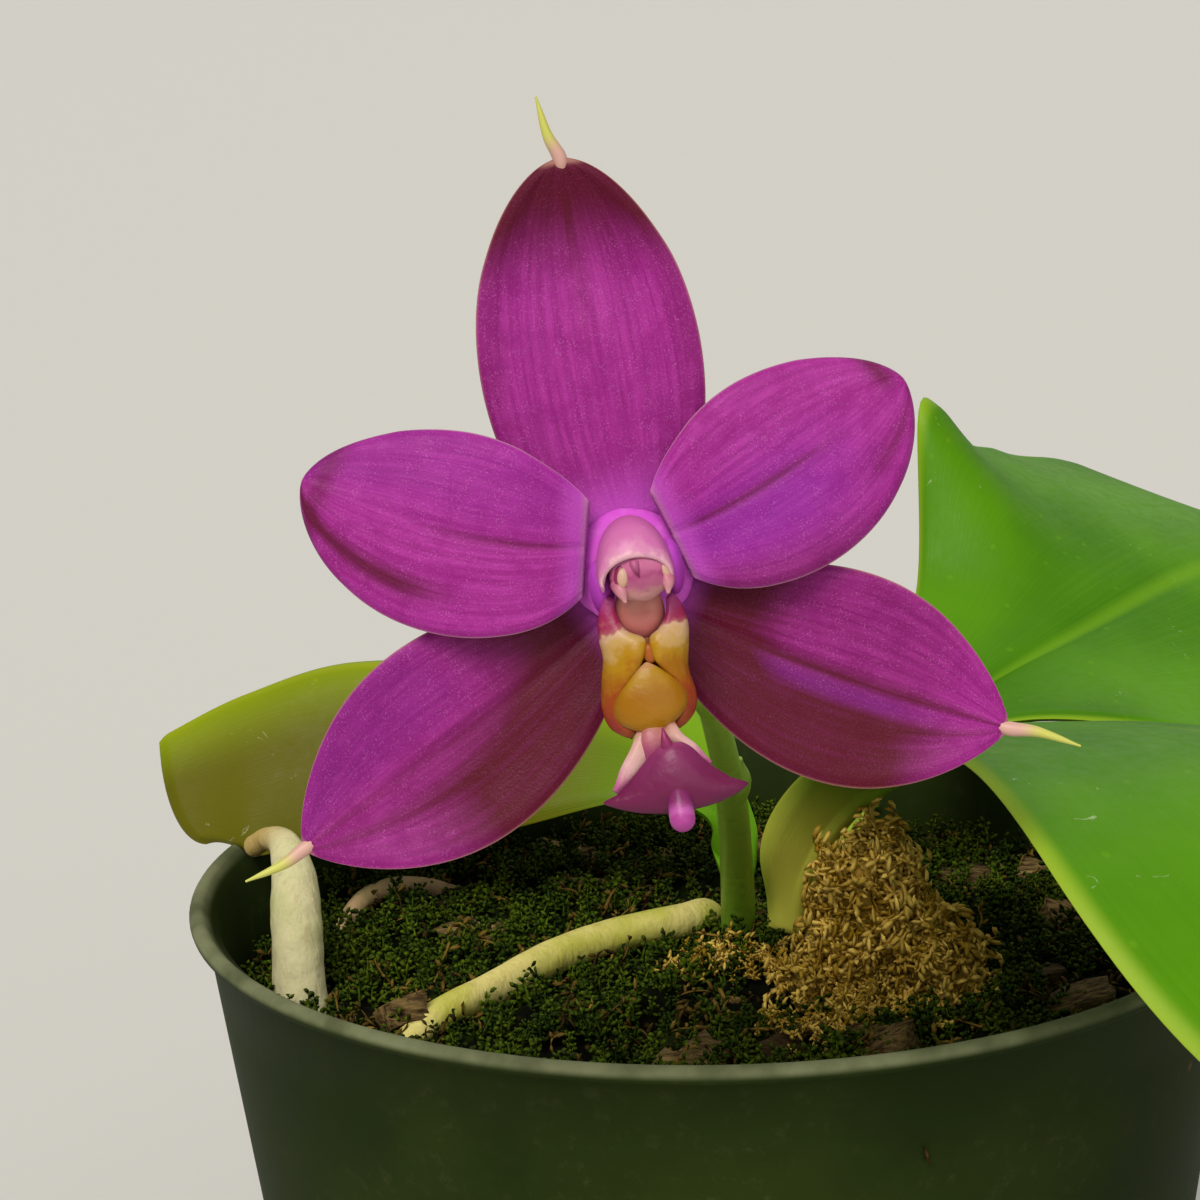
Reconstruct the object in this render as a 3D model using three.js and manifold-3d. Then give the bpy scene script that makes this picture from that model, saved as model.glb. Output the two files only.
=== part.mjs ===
// A potted orchid with one open flower, three broad leaves and a few thick roots, in a plain 4-inch pot.
// Millimetres, +Z up. The origin is the middle of the pot's underside, and the flower looks towards -Y.
import * as THREE from 'three';
import { mergeVertices } from 'three/addons/utils/BufferGeometryUtils.js';
import Module from 'manifold-3d';

const wasm = await Module();
wasm.setup();

// Driving dimensions

const gap = 0.3;              // clearance left where two pieces touch

const potHeight = 88.5;
const rimRadius = 50.3;       // a 4-inch nursery pot
const rimBead = 0.8;          // radius of the rolled bead round the rim
const rimStep = 1.25;         // how far the bead stands out past the wall
const baseRadius = 37.3;
const potWall = 1.2;
const potFloor = 1.6;
const drainHole = 8;          // diameter
const drainCircle = 24;       // radius of the ring of drain holes
const drainCount = 6;

const soilLevel = 79;         // the mix stands 9 mm below the rim
const soilRelief = 1.1;       // how far its mossy surface rises and dips

const crownPlace = [8, 8.5];
const leafThickness = 1.3;
const rootWidth = 5.0;        // the pale root that arches out of the mix
const frontRootWidth = 3.6;
const spikeWidth = 3.2;       // the flower stalk where it leaves the crown

const flowerCentre = [-7.98, -59.94, 130.75];
const flowerPitch = 77.24;    // degrees from lying flat to looking at the viewer
const flowerRoll = 7.4;       // degrees that the flower leans to the left
const petalThickness = 0.8;
const dorsalLength = 26.4;
const petalLength = 20.7;
const lateralLength = 27.2;
const hubRadius = 2.1;        // where sepals, petals and column meet
const lipThickness = 0.7;
const antherPlace = [0, -0.8, 8.3];
const antherRadii = [1.95, 1.5, 1.5];

const rowsToTip = 1.35;       // above 1, a blade's rows of faces crowd towards its tip
const potSides = 56;
const mixSides = 36;

// Materials

const finish = (color, roughness) => new THREE.MeshStandardMaterial({ color, roughness, metalness: 0 });
const potPlastic = finish('#2c3a26', 0.45);
const mossySoil = finish('#2f3413', 0.95);
const dryMoss = finish('#a9813a', 0.95);
const leafGreen = finish('#4a8a12', 0.4);
const leafOlive = finish('#8f9a1c', 0.45);
const crownGreen = finish('#8fa84a', 0.5);
const paleRoot = finish('#c3cba4', 0.8);
const tanRoot = finish('#9aa05a', 0.8);
const stalkGreen = finish('#6f9a3a', 0.5);
const pedicelPink = finish('#b98aa0', 0.5);
const petalViolet = finish('#a63a9a', 0.5);
const sepalViolet = finish('#97308a', 0.5);
const columnPink = finish('#c25aa6', 0.4);
const antherCream = finish('#d8c9a8', 0.4);
const lipYellow = finish('#c98f1a', 0.4);

// Shared geometry

const vec = (x, y, z) => new THREE.Vector3(x, y, z);
const radians = THREE.MathUtils.degToRad;
const { lerp, smoothstep } = THREE.MathUtils;
const spline = (points) => new THREE.CatmullRomCurve3(points.map((p) => vec(...p)), false, 'catmullrom', 0.5);

// A smooth function through the values of a list, the first at 0 and the last at 1.
function through(values) {
  const curve = new THREE.SplineCurve(values.map((value, i) => new THREE.Vector2(i, value)));
  return (t) => curve.getPoint(THREE.MathUtils.clamp(t, 0, 1)).y;
}

// The same, closed at the end by a round tip. A higher power makes the tip blunter.
function roundEnded(values, power) {
  const width = through(values);
  return (t) => width(t) * Math.sqrt(1 - t ** power);
}

// A smooth hump of height 1 at a place, fading out over about twice its width
const hump = (t, place, width) => Math.exp(-(((t - place) / width) ** 2));

// A closed geometry as a solid to join or cut: corners at one place become one corner.
function solid(geometry) {
  const bare = geometry.clone();
  for (const name of Object.keys(bare.attributes)) {
    if (name !== 'position') bare.deleteAttribute(name);
  }
  const merged = mergeVertices(bare, 1e-4);
  const corners = Array.from(merged.index.array);
  const kept = [];
  for (let i = 0; i < corners.length; i += 3) {
    const [a, b, c] = corners.slice(i, i + 3);
    if (a !== b && b !== c && c !== a) kept.push(a, b, c);
  }
  const mesh = new wasm.Mesh({
    numProp: 3,
    vertProperties: new Float32Array(merged.attributes.position.array),
    triVerts: new Uint32Array(kept),
  });
  return new wasm.Manifold(mesh);
}

function geometryOf(body) {
  const mesh = body.getMesh();
  const geometry = new THREE.BufferGeometry();
  geometry.setAttribute('position', new THREE.BufferAttribute(new Float32Array(mesh.vertProperties), 3));
  geometry.setIndex(new THREE.BufferAttribute(new Uint32Array(mesh.triVerts), 1));
  geometry.computeVertexNormals();
  return geometry;
}

const join = (bodies) => bodies.reduce((sum, body) => sum.add(body));

// A closed round rod along a spline. Its radius is a function of the distance along it, from 0 to 1.
function rod(points, radius, steps, sides) {
  const curve = spline(points);
  const frames = curve.computeFrenetFrames(steps);
  const geometry = new THREE.CylinderGeometry(1, 1, 1, sides, steps);
  const position = geometry.attributes.position;
  for (let i = 0; i < position.count; i += 1) {
    const t = position.getY(i) + 0.5;
    const ring = Math.round(t * steps);
    const width = radius(t);
    const point = curve.getPointAt(t)
      .addScaledVector(frames.normals[ring], position.getX(i) * width)
      .addScaledVector(frames.binormals[ring], -position.getZ(i) * width);
    position.setXYZ(i, point.x, point.y, point.z);
  }
  return solid(geometry);
}

// A faceted lump: a ball stretched to three radii, turned and moved.
function lump(centre, radii, detail, turn = [0, 0, 0]) {
  const geometry = new THREE.IcosahedronGeometry(1, detail);
  geometry.scale(...radii);
  geometry.applyMatrix4(new THREE.Matrix4().makeRotationFromEuler(new THREE.Euler(...turn.map(radians))));
  geometry.translate(...centre);
  return solid(geometry);
}

// The width of a leaf or petal from its base (0) to its tip (1): widest is the half width, and the two powers
// say how fast it swells from the base and closes at the tip.
function outline(widest, swell, close, start) {
  const top = (swell ** swell * close ** close) / (swell + close) ** (swell + close);
  return (t) => {
    const x = start + (1 - start) * t;
    return (widest * x ** swell * Math.max(1 - x, 0) ** close) / top;
  };
}

// A point of a blade: t runs from base to tip, and s from -1 at one margin to 1 at the other. The blade's
// sides rise from its midrib by the angle lift(t, s), and its margins are waved by wave(t, s). A blunt blade
// ends in half an ellipse of that depth.
function bladePoint(blade, t, s) {
  const centre = blade.curve.getPoint(t);
  const forward = blade.curve.getTangent(t);
  const side = vec().crossVectors(forward, vec(...blade.face)).normalize();
  const face = blade.upright ? vec(...blade.face) : vec().crossVectors(side, forward);
  const reach = Math.max(blade.halfWidth(t), blade.least) * s;
  const rise = radians(blade.lift(t, s));
  const wave = blade.wave ? blade.wave(t, s) : 0;
  const short = blade.blunt ? blade.blunt * (1 - Math.sqrt(1 - 0.95 * s * s)) * t ** 6 : 0;
  return centre
    .addScaledVector(forward, -short)
    .addScaledVector(side, reach * Math.cos(rise))
    .addScaledVector(face, Math.abs(reach) * Math.sin(rise) + wave);
}

// A thin closed plate over a grid of blade points, split into triangles alike on its two faces. Its rows
// stand closer together towards the tip.
function plate(blade, rows, columns, thickness) {
  const grid = new THREE.PlaneGeometry(2, 1, columns, rows);
  const count = grid.attributes.position.count;
  const nudge = 0.01;
  const top = [];
  const under = [];
  for (let i = 0; i < count; i += 1) {
    const s = grid.attributes.position.getX(i);
    const t = 1 - (0.5 - grid.attributes.position.getY(i)) ** rowsToTip;
    const sLow = Math.max(s - nudge, -1);
    const tLow = Math.max(t - nudge, 0);
    const across = bladePoint(blade, t, Math.min(s + nudge, 1)).sub(bladePoint(blade, t, sLow));
    const ahead = bladePoint(blade, Math.min(t + nudge, 1), s).sub(bladePoint(blade, tLow, s));
    const normal = vec().crossVectors(across, ahead).normalize();
    const point = bladePoint(blade, t, s);
    top.push(...point.clone().addScaledVector(normal, thickness / 2).toArray());
    under.push(...point.clone().addScaledVector(normal, -thickness / 2).toArray());
  }
  const faces = Array.from(grid.index.array);
  const index = [...faces];
  for (let i = 0; i < faces.length; i += 3) {
    index.push(faces[i + 2] + count, faces[i + 1] + count, faces[i] + count);
  }
  const corner = (row, column) => row * (columns + 1) + column;
  const rim = [];
  for (let column = 0; column < columns; column += 1) rim.push(corner(rows, column));
  for (let row = rows; row > 0; row -= 1) rim.push(corner(row, columns));
  for (let column = columns; column > 0; column -= 1) rim.push(corner(0, column));
  for (let row = 0; row < rows; row += 1) rim.push(corner(row, 0));
  rim.forEach((here, i) => {
    const next = rim[(i + 1) % rim.length];
    index.push(here + count, next + count, here, here, next + count, next);
  });
  const geometry = new THREE.BufferGeometry();
  geometry.setAttribute('position', new THREE.Float32BufferAttribute([...top, ...under], 3));
  geometry.setIndex(index);
  return solid(geometry);
}

// A profile of radius and height turned round the Z axis.
function turned(profile, segments) {
  const geometry = new THREE.LatheGeometry(profile.map(([r, z]) => new THREE.Vector2(r, z)), segments);
  return geometry.rotateX(Math.PI / 2);
}

// Numbers between 0 and 1 that are the same at every build.
function drawer(seed) {
  let state = seed;
  return () => {
    state = (state * 1664525 + 1013904223) % 4294967296;
    return state / 4294967296;
  };
}

function named(name, geometry, material) {
  const mesh = new THREE.Mesh(geometry, material);
  mesh.name = name;
  return mesh;
}

// The pot

const wallSlope = (rimRadius - rimStep - baseRadius) / potHeight;
const outerAt = (z) => baseRadius + wallSlope * z;
const innerAt = (z) => outerAt(z) - potWall;

function potBody() {
  const beadCentre = [rimRadius - rimBead, potHeight - rimBead];
  const profile = [[0, 0], [baseRadius, 0], [outerAt(potHeight - 2 * rimBead), potHeight - 2 * rimBead]];
  const beadSteps = 5;
  for (let step = 0; step <= beadSteps; step += 1) {
    const angle = radians(lerp(-70, 160, step / beadSteps));
    profile.push([beadCentre[0] + rimBead * Math.cos(angle), beadCentre[1] + rimBead * Math.sin(angle)]);
  }
  profile.push([innerAt(potHeight - 1.5), potHeight - 1.5], [innerAt(potFloor), potFloor], [0, potFloor]);
  let body = solid(turned(profile, potSides));
  for (let hole = 0; hole < drainCount; hole += 1) {
    const angle = (hole / drainCount) * 2 * Math.PI;
    const drill = new THREE.CylinderGeometry(drainHole / 2, drainHole / 2, potFloor * 4, 12);
    drill.rotateX(Math.PI / 2).translate(drainCircle * Math.cos(angle), drainCircle * Math.sin(angle), 0);
    body = body.subtract(solid(drill));
  }
  return body;
}

// Roots, stalk and crown: their lines are kept for the holes that they stand in

const paleRootLine = [
  [-38.5, -9, 70], [-39.9, -6.8, 80], [-40.1, -4.6, 86], [-40.5, -1.6, 90], [-41.6, 1.8, 91.8],
  [-43.5, 4.8, 91.5], [-45.2, 6.8, 90.1],
];
const frontRootLine = [
  [-1, 14, 73], [-0.8, 10, 79.6], [-3.5, 5.6, 81.2], [-9.7, 3, 81], [-15.5, -1.4, 80.8], [-21, -8, 80.4],
  [-28, -15.6, 79.4], [-32.5, -21, 75],
];
const smallRootLine = [
  [-25, 29, 76], [-31, 25, 79.4], [-35.3, 20.7, 80], [-37.6, 15.5, 78.6], [-38.5, 12, 74],
];
const stalkLine = [
  [2.2, 7, 70], [2, 5.6, 79], [1.7, 0, 88.5], [0.8, -10, 99.5], [-1.2, -22, 110.5], [-3.2, -33, 119.5],
  [-4.6, -42, 126.5],
];
const crownLine = [
  [crownPlace[0], crownPlace[1], 66], [crownPlace[0], crownPlace[1], 76],
  [crownPlace[0] + 0.5, crownPlace[1] + 0.5, 84],
];

const paleRootRadius = (spare) => (t) => (rootWidth / 2) * lerp(1, 0.62, smoothstep(t, 0.6, 1)) + spare;
const frontRootRadius = (spare) => (t) => (frontRootWidth / 2) * lerp(1.05, 0.8, t) + spare;
const smallRootRadius = (spare) => (t) => lerp(1.1, 0.85, t) + spare;
const stalkRadius = (spare) => (t) => (spikeWidth / 2) * lerp(1.08, 0.66, smoothstep(t, 0, 0.9)) + spare;
const crownRadius = (spare) => (t) => lerp(3.4, 2.4, t) + spare;

// A line run on past both its ends, so that the hole round a rod is also deeper than the rod
function longer(points, spare) {
  const runOn = (end, before) => {
    const reach = vec(...end).sub(vec(...before)).setLength(1.5 * spare);
    return vec(...end).add(reach).toArray();
  };
  return [runOn(points[0], points[1]), ...points.slice(1, -1), runOn(points.at(-1), points.at(-2))];
}

const paleRootRod = (spare) => rod(longer(paleRootLine, spare), paleRootRadius(spare), 20, 10);
const frontRootRod = (spare) => rod(longer(frontRootLine, spare), frontRootRadius(spare), 24, 8);
const smallRootRod = (spare) => rod(longer(smallRootLine, spare), smallRootRadius(spare), 10, 7);
const stalkRod = (spare) => rod(longer(stalkLine, spare), stalkRadius(spare), 18, 8);
const crownRod = (spare) => rod(longer(crownLine, spare), crownRadius(spare), 5, 12);

// The mix: bark and moss, its surface raised and dipped by a formula, with chips and moss tufts standing out

const soilHeight = (x, y) => soilLevel + soilRelief * (
  0.5 * Math.sin(0.31 * x + 1.3) * Math.cos(0.27 * y - 0.4) + 0.35 * Math.sin(0.62 * x - 0.51 * y)
  + 0.25 * Math.cos(0.9 * y + 0.37 * x)
);

function soilGround(raised) {
  const edge = innerAt(soilLevel - 2) - gap;
  const floor = potFloor + gap;
  const profile = [[0, floor], [innerAt(floor) - gap, floor], [edge, soilLevel - 2]];
  const rings = 8;
  for (let ring = 0; ring <= rings; ring += 1) profile.push([edge * (1 - ring / rings), soilLevel]);
  const geometry = turned(profile, mixSides);
  const position = geometry.attributes.position;
  for (let i = 0; i < position.count; i += 1) {
    if (position.getZ(i) > soilLevel - 0.5) {
      const [x, y] = [position.getX(i), position.getY(i)];
      position.setZ(i, soilHeight(x, y) + raised);
    }
  }
  return solid(geometry);
}

const chipPlaces = [
  [-12.6, 22.6], [12, -25], [-24, 8], [26, 22], [-6, -28], [32, -16], [-30, -14], [6, 33], [34, 6],
];

function barkChip(place, size, turn) {
  const geometry = new THREE.BoxGeometry(...size);
  geometry.applyMatrix4(new THREE.Matrix4().makeRotationFromEuler(new THREE.Euler(...turn.map(radians))));
  geometry.translate(...place);
  return solid(geometry);
}

// The ground under the dry sphagnum is left without tufts and chips
const underHeap = (x, y) => ((x - 14) / 13) ** 2 + ((y + 8.5) / 9.5) ** 2 < 1;

function pottingMix() {
  const draw = drawer(11);
  const pieces = [soilGround(0)];
  const tufts = 28;
  const spread = innerAt(soilLevel) - 6;
  const goldenAngle = Math.PI * (3 - Math.sqrt(5));
  for (let i = 0; i < tufts; i += 1) {
    const radius = spread * Math.sqrt((i + 0.5) / tufts);
    const angle = i * goldenAngle;
    const [x, y] = [radius * Math.cos(angle), radius * Math.sin(angle)];
    if (underHeap(x, y)) continue;
    const size = lerp(1.6, 3.6, draw());
    const place = [x, y, soilHeight(x, y) - size * 0.2];
    pieces.push(lump(place, [size, size * lerp(0.7, 1.1, draw()), size * 0.6], 0, [0, 0, 180 * draw()]));
  }
  for (const [x, y] of chipPlaces) {
    const turn = [lerp(-30, 30, draw()), lerp(-30, 30, draw()), 360 * draw()];
    const size = [lerp(4, 8, draw()), lerp(3, 5, draw()), 2.6];
    pieces.push(barkChip([x, y, soilHeight(x, y) + 0.4], size, turn));
  }
  const holes = [paleRootRod(gap), frontRootRod(gap), smallRootRod(gap), stalkRod(gap), crownRod(gap)];
  return join(pieces).subtract(join(holes));
}

// The dry sphagnum heaped against the crown: a heap of lumps with short strands standing out of it

function sphagnumHeap() {
  const draw = drawer(29);
  const core = [
    [[14.5, -7.6, 80], [6.2, 4, 6]], [[13.6, -7.4, 86], [4.2, 3, 5]], [[14, -8.4, 90.5], [2.6, 2.2, 3.2]],
    [[18.8, -9.4, 80], [4, 3.4, 5]], [[9.2, -10, 79.6], [3.6, 2.4, 2.6]],
  ];
  const pieces = core.map(([place, radii]) => lump(place, radii, 1));
  for (const [place, radii] of core) {
    for (let strand = 0; strand < 5; strand += 1) {
      const turn = 2 * Math.PI * draw();
      const away = vec(Math.cos(turn), Math.sin(turn) - 0.25, lerp(-0.1, 0.9, draw())).normalize();
      const root = vec(...place).add(away.clone().multiply(vec(...radii).multiplyScalar(0.72)));
      const tip = root.clone().addScaledVector(away, lerp(2, 3.4, draw()));
      const knee = root.clone().lerp(tip, 0.5).add(vec(0, 0, 0.5));
      pieces.push(rod([root, knee, tip].map((p) => p.toArray()), (t) => lerp(0.9, 0.4, t), 2, 4));
    }
  }
  const clear = join([soilGround(gap), stalkRod(gap * 2), crownRod(gap)]);
  return join(pieces).subtract(clear);
}

// The leaves: each grows out of the crown as a folded channel, then opens to a broad arched blade

const leafLeft = {
  curve: spline([
    [2.7, 11.6, 80.8], [1, 13, 90], [-8, 16.5, 98.5], [-22, 20, 103], [-36, 23, 104], [-47, 24, 100.9],
    [-56.3, 22.8, 96.6],
  ]),
  face: [0, 0, 1],
  halfWidth: through([3.4, 4.4, 10, 16, 18.5, 19.5, 14]),
  least: 0.6,
  blunt: 6,
  upright: true,
  farLift: through([52, 30, -4, -20, -28, -30]),
  nearLift: through([52, 0, -38, -56, -57, -47, -42]),
  lift: (t, s) => (s < 0 ? leafLeft.nearLift(t) : leafLeft.farLift(t)),
  wave: (t, s) => 0.9 * s * s * Math.sin(9 * t),
};

// Its left margin stands up in a sharp corner, with a dip beyond it
const leafBack = {
  curve: spline([
    [12.5, 13, 80.8], [16.5, 17, 90], [27, 24, 97.5], [41, 34.5, 102], [55, 47, 105], [68, 60, 104.5],
    [80, 72, 100], [90, 82, 92],
  ]),
  face: [0, 0, 1],
  halfWidth: roundEnded([3.6, 4.6, 10, 23, 31.5, 33, 29, 20], 7),
  least: 0.6,
  leftLift: through([40, 40, 27, 30, 16, 4, -8]),
  rightLift: through([40, 30, -4, -27, -35, -33, -28]),
  lift: (t, s) => (s < 0 ? leafBack.leftLift(t) : leafBack.rightLift(t)),
  corner: (t) => 12 * hump(t, 0.445, 0.05) - 3.2 * hump(t, 0.61, 0.09),
  wave: (t, s) => s * s * (1.2 * Math.sin(11 * t + 0.6) + (s < 0 ? leafBack.corner(t) : 0)),
};

const leafFront = {
  curve: spline([
    [7.4, 2.6, 80.2], [8.6, -0.3, 88.5], [13.6, -5.4, 97.3], [23, -15.2, 104.5], [35.5, -30, 109],
    [48.5, -46, 109.5], [61.5, -61.5, 105], [73.5, -76, 96.5], [82, -86.5, 86],
  ]),
  face: [0, 0, 1],
  halfWidth: roundEnded([2.9, 4.2, 6.5, 13, 23, 32.5, 33, 27, 16], 9),
  least: 0.6,
  nearLift: through([38, 42, 20, 12, 0, -24, -36, -36]),
  farLift: through([38, 42, 2, -10, -15, -17, -17, -16]),
  lift: (t, s) => (s > 0 ? leafFront.nearLift(t) : leafFront.farLift(t)),
  wave: (t, s) => 1.1 * s * s * Math.sin(10 * t),
};

// The flower's own frame: X to its right, Y up and Z towards the viewer

const flowerTurn = new THREE.Euler(radians(flowerPitch), 0, radians(flowerRoll));
const thornRadius = through([0.55, 0.6, 0.45, 0.3]);
const spikelet = (points) => rod(points, thornRadius, 7, 6);

const dorsalTip = [-0.35, 3.1 + dorsalLength, 2.6];
const dorsalSepal = {
  curve: spline([[0, 3.1, 0], [-0.45, 9, 0.7], [-0.55, 16, 1.2], [-0.5, 23, 0.9], dorsalTip]),
  face: [0, 0, 1],
  halfWidth: outline(7.95, 0.557, 0.56, 0.05),
  least: 0.55,
  lift: (t, s) => lerp(0, 16, smoothstep(t, 0.3, 0.8)) * Math.abs(s),
};

// A petal or lateral sepal: its middle line runs from its base at an angle and bows a little downwards
function sideLine(base, aim, length, bow, heights) {
  const hand = Math.sign(Math.cos(radians(aim)));
  const ahead = [Math.cos(radians(aim)), Math.sin(radians(aim))];
  const down = [ahead[1] * hand, -ahead[0] * hand];
  return spline(heights.map((height, i) => {
    const share = i / (heights.length - 1);
    const sag = bow * Math.sin(Math.PI * share ** 0.9);
    return [
      base[0] + ahead[0] * length * share + down[0] * sag,
      base[1] + ahead[1] * length * share + down[1] * sag,
      height,
    ];
  }));
}

const petal = (curve) => ({
  curve,
  face: [0, 0, 1],
  halfWidth: outline(7.2, 0.573, 0.6, 0.065),
  least: 1,
  lift: (t, s) => lerp(4, -10, t) * Math.abs(s),
});
const petalHeights = [2.2, 3.2, 3.2, 2.9, 2.4];
const petalLeft = petal(sideLine([-3, 2], 157, petalLength, 1.15, petalHeights));
const petalRight = petal(sideLine([3, 2], 24.5, petalLength - 0.9, 0.8, petalHeights));

const lateral = (curve) => ({
  curve,
  face: [0, 0, 1],
  halfWidth: outline(7.7, 1.05, 0.8, 0.085),
  least: 0.55,
  lift: (t, s) => lerp(6, 12, t) * Math.abs(s),
});
const lateralHeights = [-0.2, 0.3, 0.3, 0.2, 0.9];
const lateralLeft = lateral(sideLine([-1.6, -2.6], -152.1, lateralLength + 0.9, 0.4, lateralHeights));
const lateralRight = lateral(sideLine([1.6, -2.6], -29.5, lateralLength - 0.9, 0.6, lateralHeights));

// A sepal and the thorn at its tip, which starts inside the blade and runs on by the given reach
function sepalBody(blade, reach) {
  const root = blade.curve.getPoint(0.965);
  const tip = blade.curve.getPoint(1);
  const end = tip.clone().add(vec(...reach));
  const knee = tip.clone().lerp(end, 0.4).add(vec(-0.05 * reach[1], 0.05 * reach[0], 0.08));
  const thorn = spikelet([root, knee, end].map((p) => p.toArray()));
  return join([plate(blade, 12, 6, petalThickness), thorn]);
}

function columnBody() {
  const hub = rod(
    [[0, 0, -2], [0, 0, 0], [0, 0.1, 1.1], [0, 0.1, 2.2], [0, 0.4, 3]],
    through([hubRadius, hubRadius, hubRadius, 3.15, 3.1, 2.2]), 10, 14,
  );
  const hood = rod(
    [[0, 0.2, 1], [0, 0.9, 3.5], [0, 1.4, 6], [0, 1.2, 8], [0, 0.7, 9.3]],
    through([2.1, 2.2, 2.4, 2.45, 2.1, 1.0]), 10, 12,
  );
  const stigma = lump([0.1, -2.4, 4.6], [1.55, 2.4, 2], 1);
  const room = lump(antherPlace, antherRadii.map((radius) => radius + gap), 2);
  return join([hub, hood, stigma]).subtract(room);
}

function antherBody() {
  const cap = lump(antherPlace, antherRadii, 2);
  const teeth = [-1, 1].map((hand) => rod(
    [[1.35 * hand, -0.2, 9.1], [1.45 * hand, -1.3, 9.5], [1.2 * hand, -2.6, 9.3]],
    through([0.45, 0.6, 0.35, 0.15]), 5, 6,
  ));
  return join([cap, ...teeth]);
}

function lipBody() {
  const lobes = [-1, 1].map((hand) => plate({
    curve: spline([[2.3 * hand - 0.2, -9.4, 5.6], [2.6 * hand - 0.2, -7.4, 5.9], [2.55 * hand - 0.2, -5, 6.2],
      [2.3 * hand - 0.2, -2.9, 6.2]]),
    face: [0.62 * hand, 0, 0.78],
    halfWidth: through([1.7, 2.1, 1.9, 1.0]),
    least: 0.5,
    lift: (t, s) => -34 * Math.abs(s),
  }, 6, 4, lipThickness));
  const pouch = lump([-0.25, -9.4, 5.4], [3.15, 2.7, 2.6], 2);
  const shield = rod(
    [[-0.2, -7.2, 7.2], [-0.2, -8.6, 7.6], [-0.2, -10.6, 7.5], [-0.1, -11.8, 7.0]],
    through([0.35, 1.7, 2.2, 1.2]), 6, 10,
  );
  const neck = rod([[0, -10.6, 6], [0.1, -12, 6.6], [0.3, -13.4, 7.2]], through([2.1, 1.5, 1.3]), 4, 8);
  const wingShare = 0.78;
  const wingReach = 5.7;
  const midlobe = plate({
    curve: spline([[0.1, -11.9, 7.2], [0.3, -13.2, 8], [0.35, -14.8, 8.6], [0.35, -17.1, 9]]),
    face: [0, 0.2, 1],
    halfWidth: (t) => (t < wingShare
      ? lerp(0.9, wingReach, (t / wingShare) ** 1.25)
      : lerp(wingReach, 0.9, ((t - wingShare) / (1 - wingShare)) ** 0.75)),
    least: 0.5,
    lift: () => -30,
  }, 9, 4, lipThickness);
  const keel = rod([[0.1, -14, 7.9], [0, -12.9, 8.6], [-0.1, -11.7, 9.2]], (t) => lerp(1.1, 0.25, t), 3, 5);
  const knobLine = [[0.35, -15.9, 8.6], [0.35, -17, 9.3], [0.32, -18.1, 9.9]];
  const knob = rod(knobLine, through([0.7, 0.85, 0.9, 0.6]), 4, 8);
  return join([...lobes, pouch, shield, neck, midlobe, keel, knob]);
}

// The stalk with its bracts, and the short stem that carries the flower

function stalkBody() {
  const curve = spline(stalkLine);
  const bracts = [0.42, 0.66, 0.86].map((share, i) => {
    const root = curve.getPointAt(share);
    const ahead = curve.getTangentAt(share);
    const hand = i % 2 ? -1 : 1;
    const tip = root.clone().addScaledVector(ahead, 6).add(vec(1.3 * hand, 0, 0.8));
    const middle = root.clone().addScaledVector(ahead, 2.6).add(vec(0.9 * hand, 0, 0.3));
    return rod([root, middle, tip].map((p) => p.toArray()), through([1.3, 1.5, 0.35]), 5, 6);
  });
  const budLine = [[-4.4, -41, 125.8], [-4.8, -43.5, 128.2], [-4.6, -45, 130.5]];
  const bud = rod(budLine, through([1.2, 1.5, 0.4]), 5, 7);
  return join([stalkRod(0), ...bracts, bud]);
}

const flowerPoint = (x, y, z) => vec(x, y, z).applyEuler(flowerTurn).add(vec(...flowerCentre));

function pedicelBody() {
  const back = flowerPoint(0, 0.1, -2 - gap);
  const behind = flowerPoint(0, 0, -7);
  const line = [[-5.6, -38.6, 121.2], [-7.2, -43, 124.2], behind.toArray(), back.toArray()];
  return rod(line, through([1.0, 1.1, 1.5, 1.9]), 12, 8);
}

// The whole plant

const plant = new THREE.Group();
plant.add(
  named('pot', geometryOf(potBody()), potPlastic),
  named('potting_mix', geometryOf(pottingMix()), mossySoil),
  named('dry_sphagnum', geometryOf(sphagnumHeap()), dryMoss),
  named('crown', geometryOf(crownRod(0)), crownGreen),
  named('leaf_left', geometryOf(plate(leafLeft, 17, 8, leafThickness)), leafOlive),
  named('leaf_back_right', geometryOf(plate(leafBack, 24, 8, leafThickness)), leafGreen),
  named('leaf_front_right', geometryOf(plate(leafFront, 20, 8, leafThickness)), leafGreen),
  named('root_pale', geometryOf(paleRootRod(0)), paleRoot),
  named('root_front', geometryOf(frontRootRod(0)), tanRoot),
  named('root_small', geometryOf(smallRootRod(0)), tanRoot),
  named('flower_stalk', geometryOf(stalkBody()), stalkGreen),
  named('pedicel', geometryOf(pedicelBody()), pedicelPink),
);

const flower = new THREE.Group();
flower.position.set(...flowerCentre);
flower.rotation.copy(flowerTurn);
flower.add(
  named('dorsal_sepal', geometryOf(sepalBody(dorsalSepal, [-0.95, 4.3, 1.2])), sepalViolet),
  named('lateral_sepal_left', geometryOf(sepalBody(lateralLeft, [-4.3, -1.5, 0.6])), sepalViolet),
  named('lateral_sepal_right', geometryOf(sepalBody(lateralRight, [4.7, -2, 0.6])), sepalViolet),
  named('petal_left', geometryOf(plate(petalLeft, 12, 6, petalThickness)), petalViolet),
  named('petal_right', geometryOf(plate(petalRight, 12, 6, petalThickness)), petalViolet),
  named('column', geometryOf(columnBody()), columnPink),
  named('anther_cap', geometryOf(antherBody()), antherCream),
  named('lip', geometryOf(lipBody()), lipYellow),
);
plant.add(flower);

export default plant;
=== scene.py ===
# A potted orchid with one open flower: the camera, lights and floor, then the pot, the mix, the roots,
# the leaves, the stalk and the flower. Places and sizes are in millimetres until a mesh is made.
import math
import random

import bmesh
import bpy
import numpy as np
from mathutils import Matrix, Vector


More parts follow.
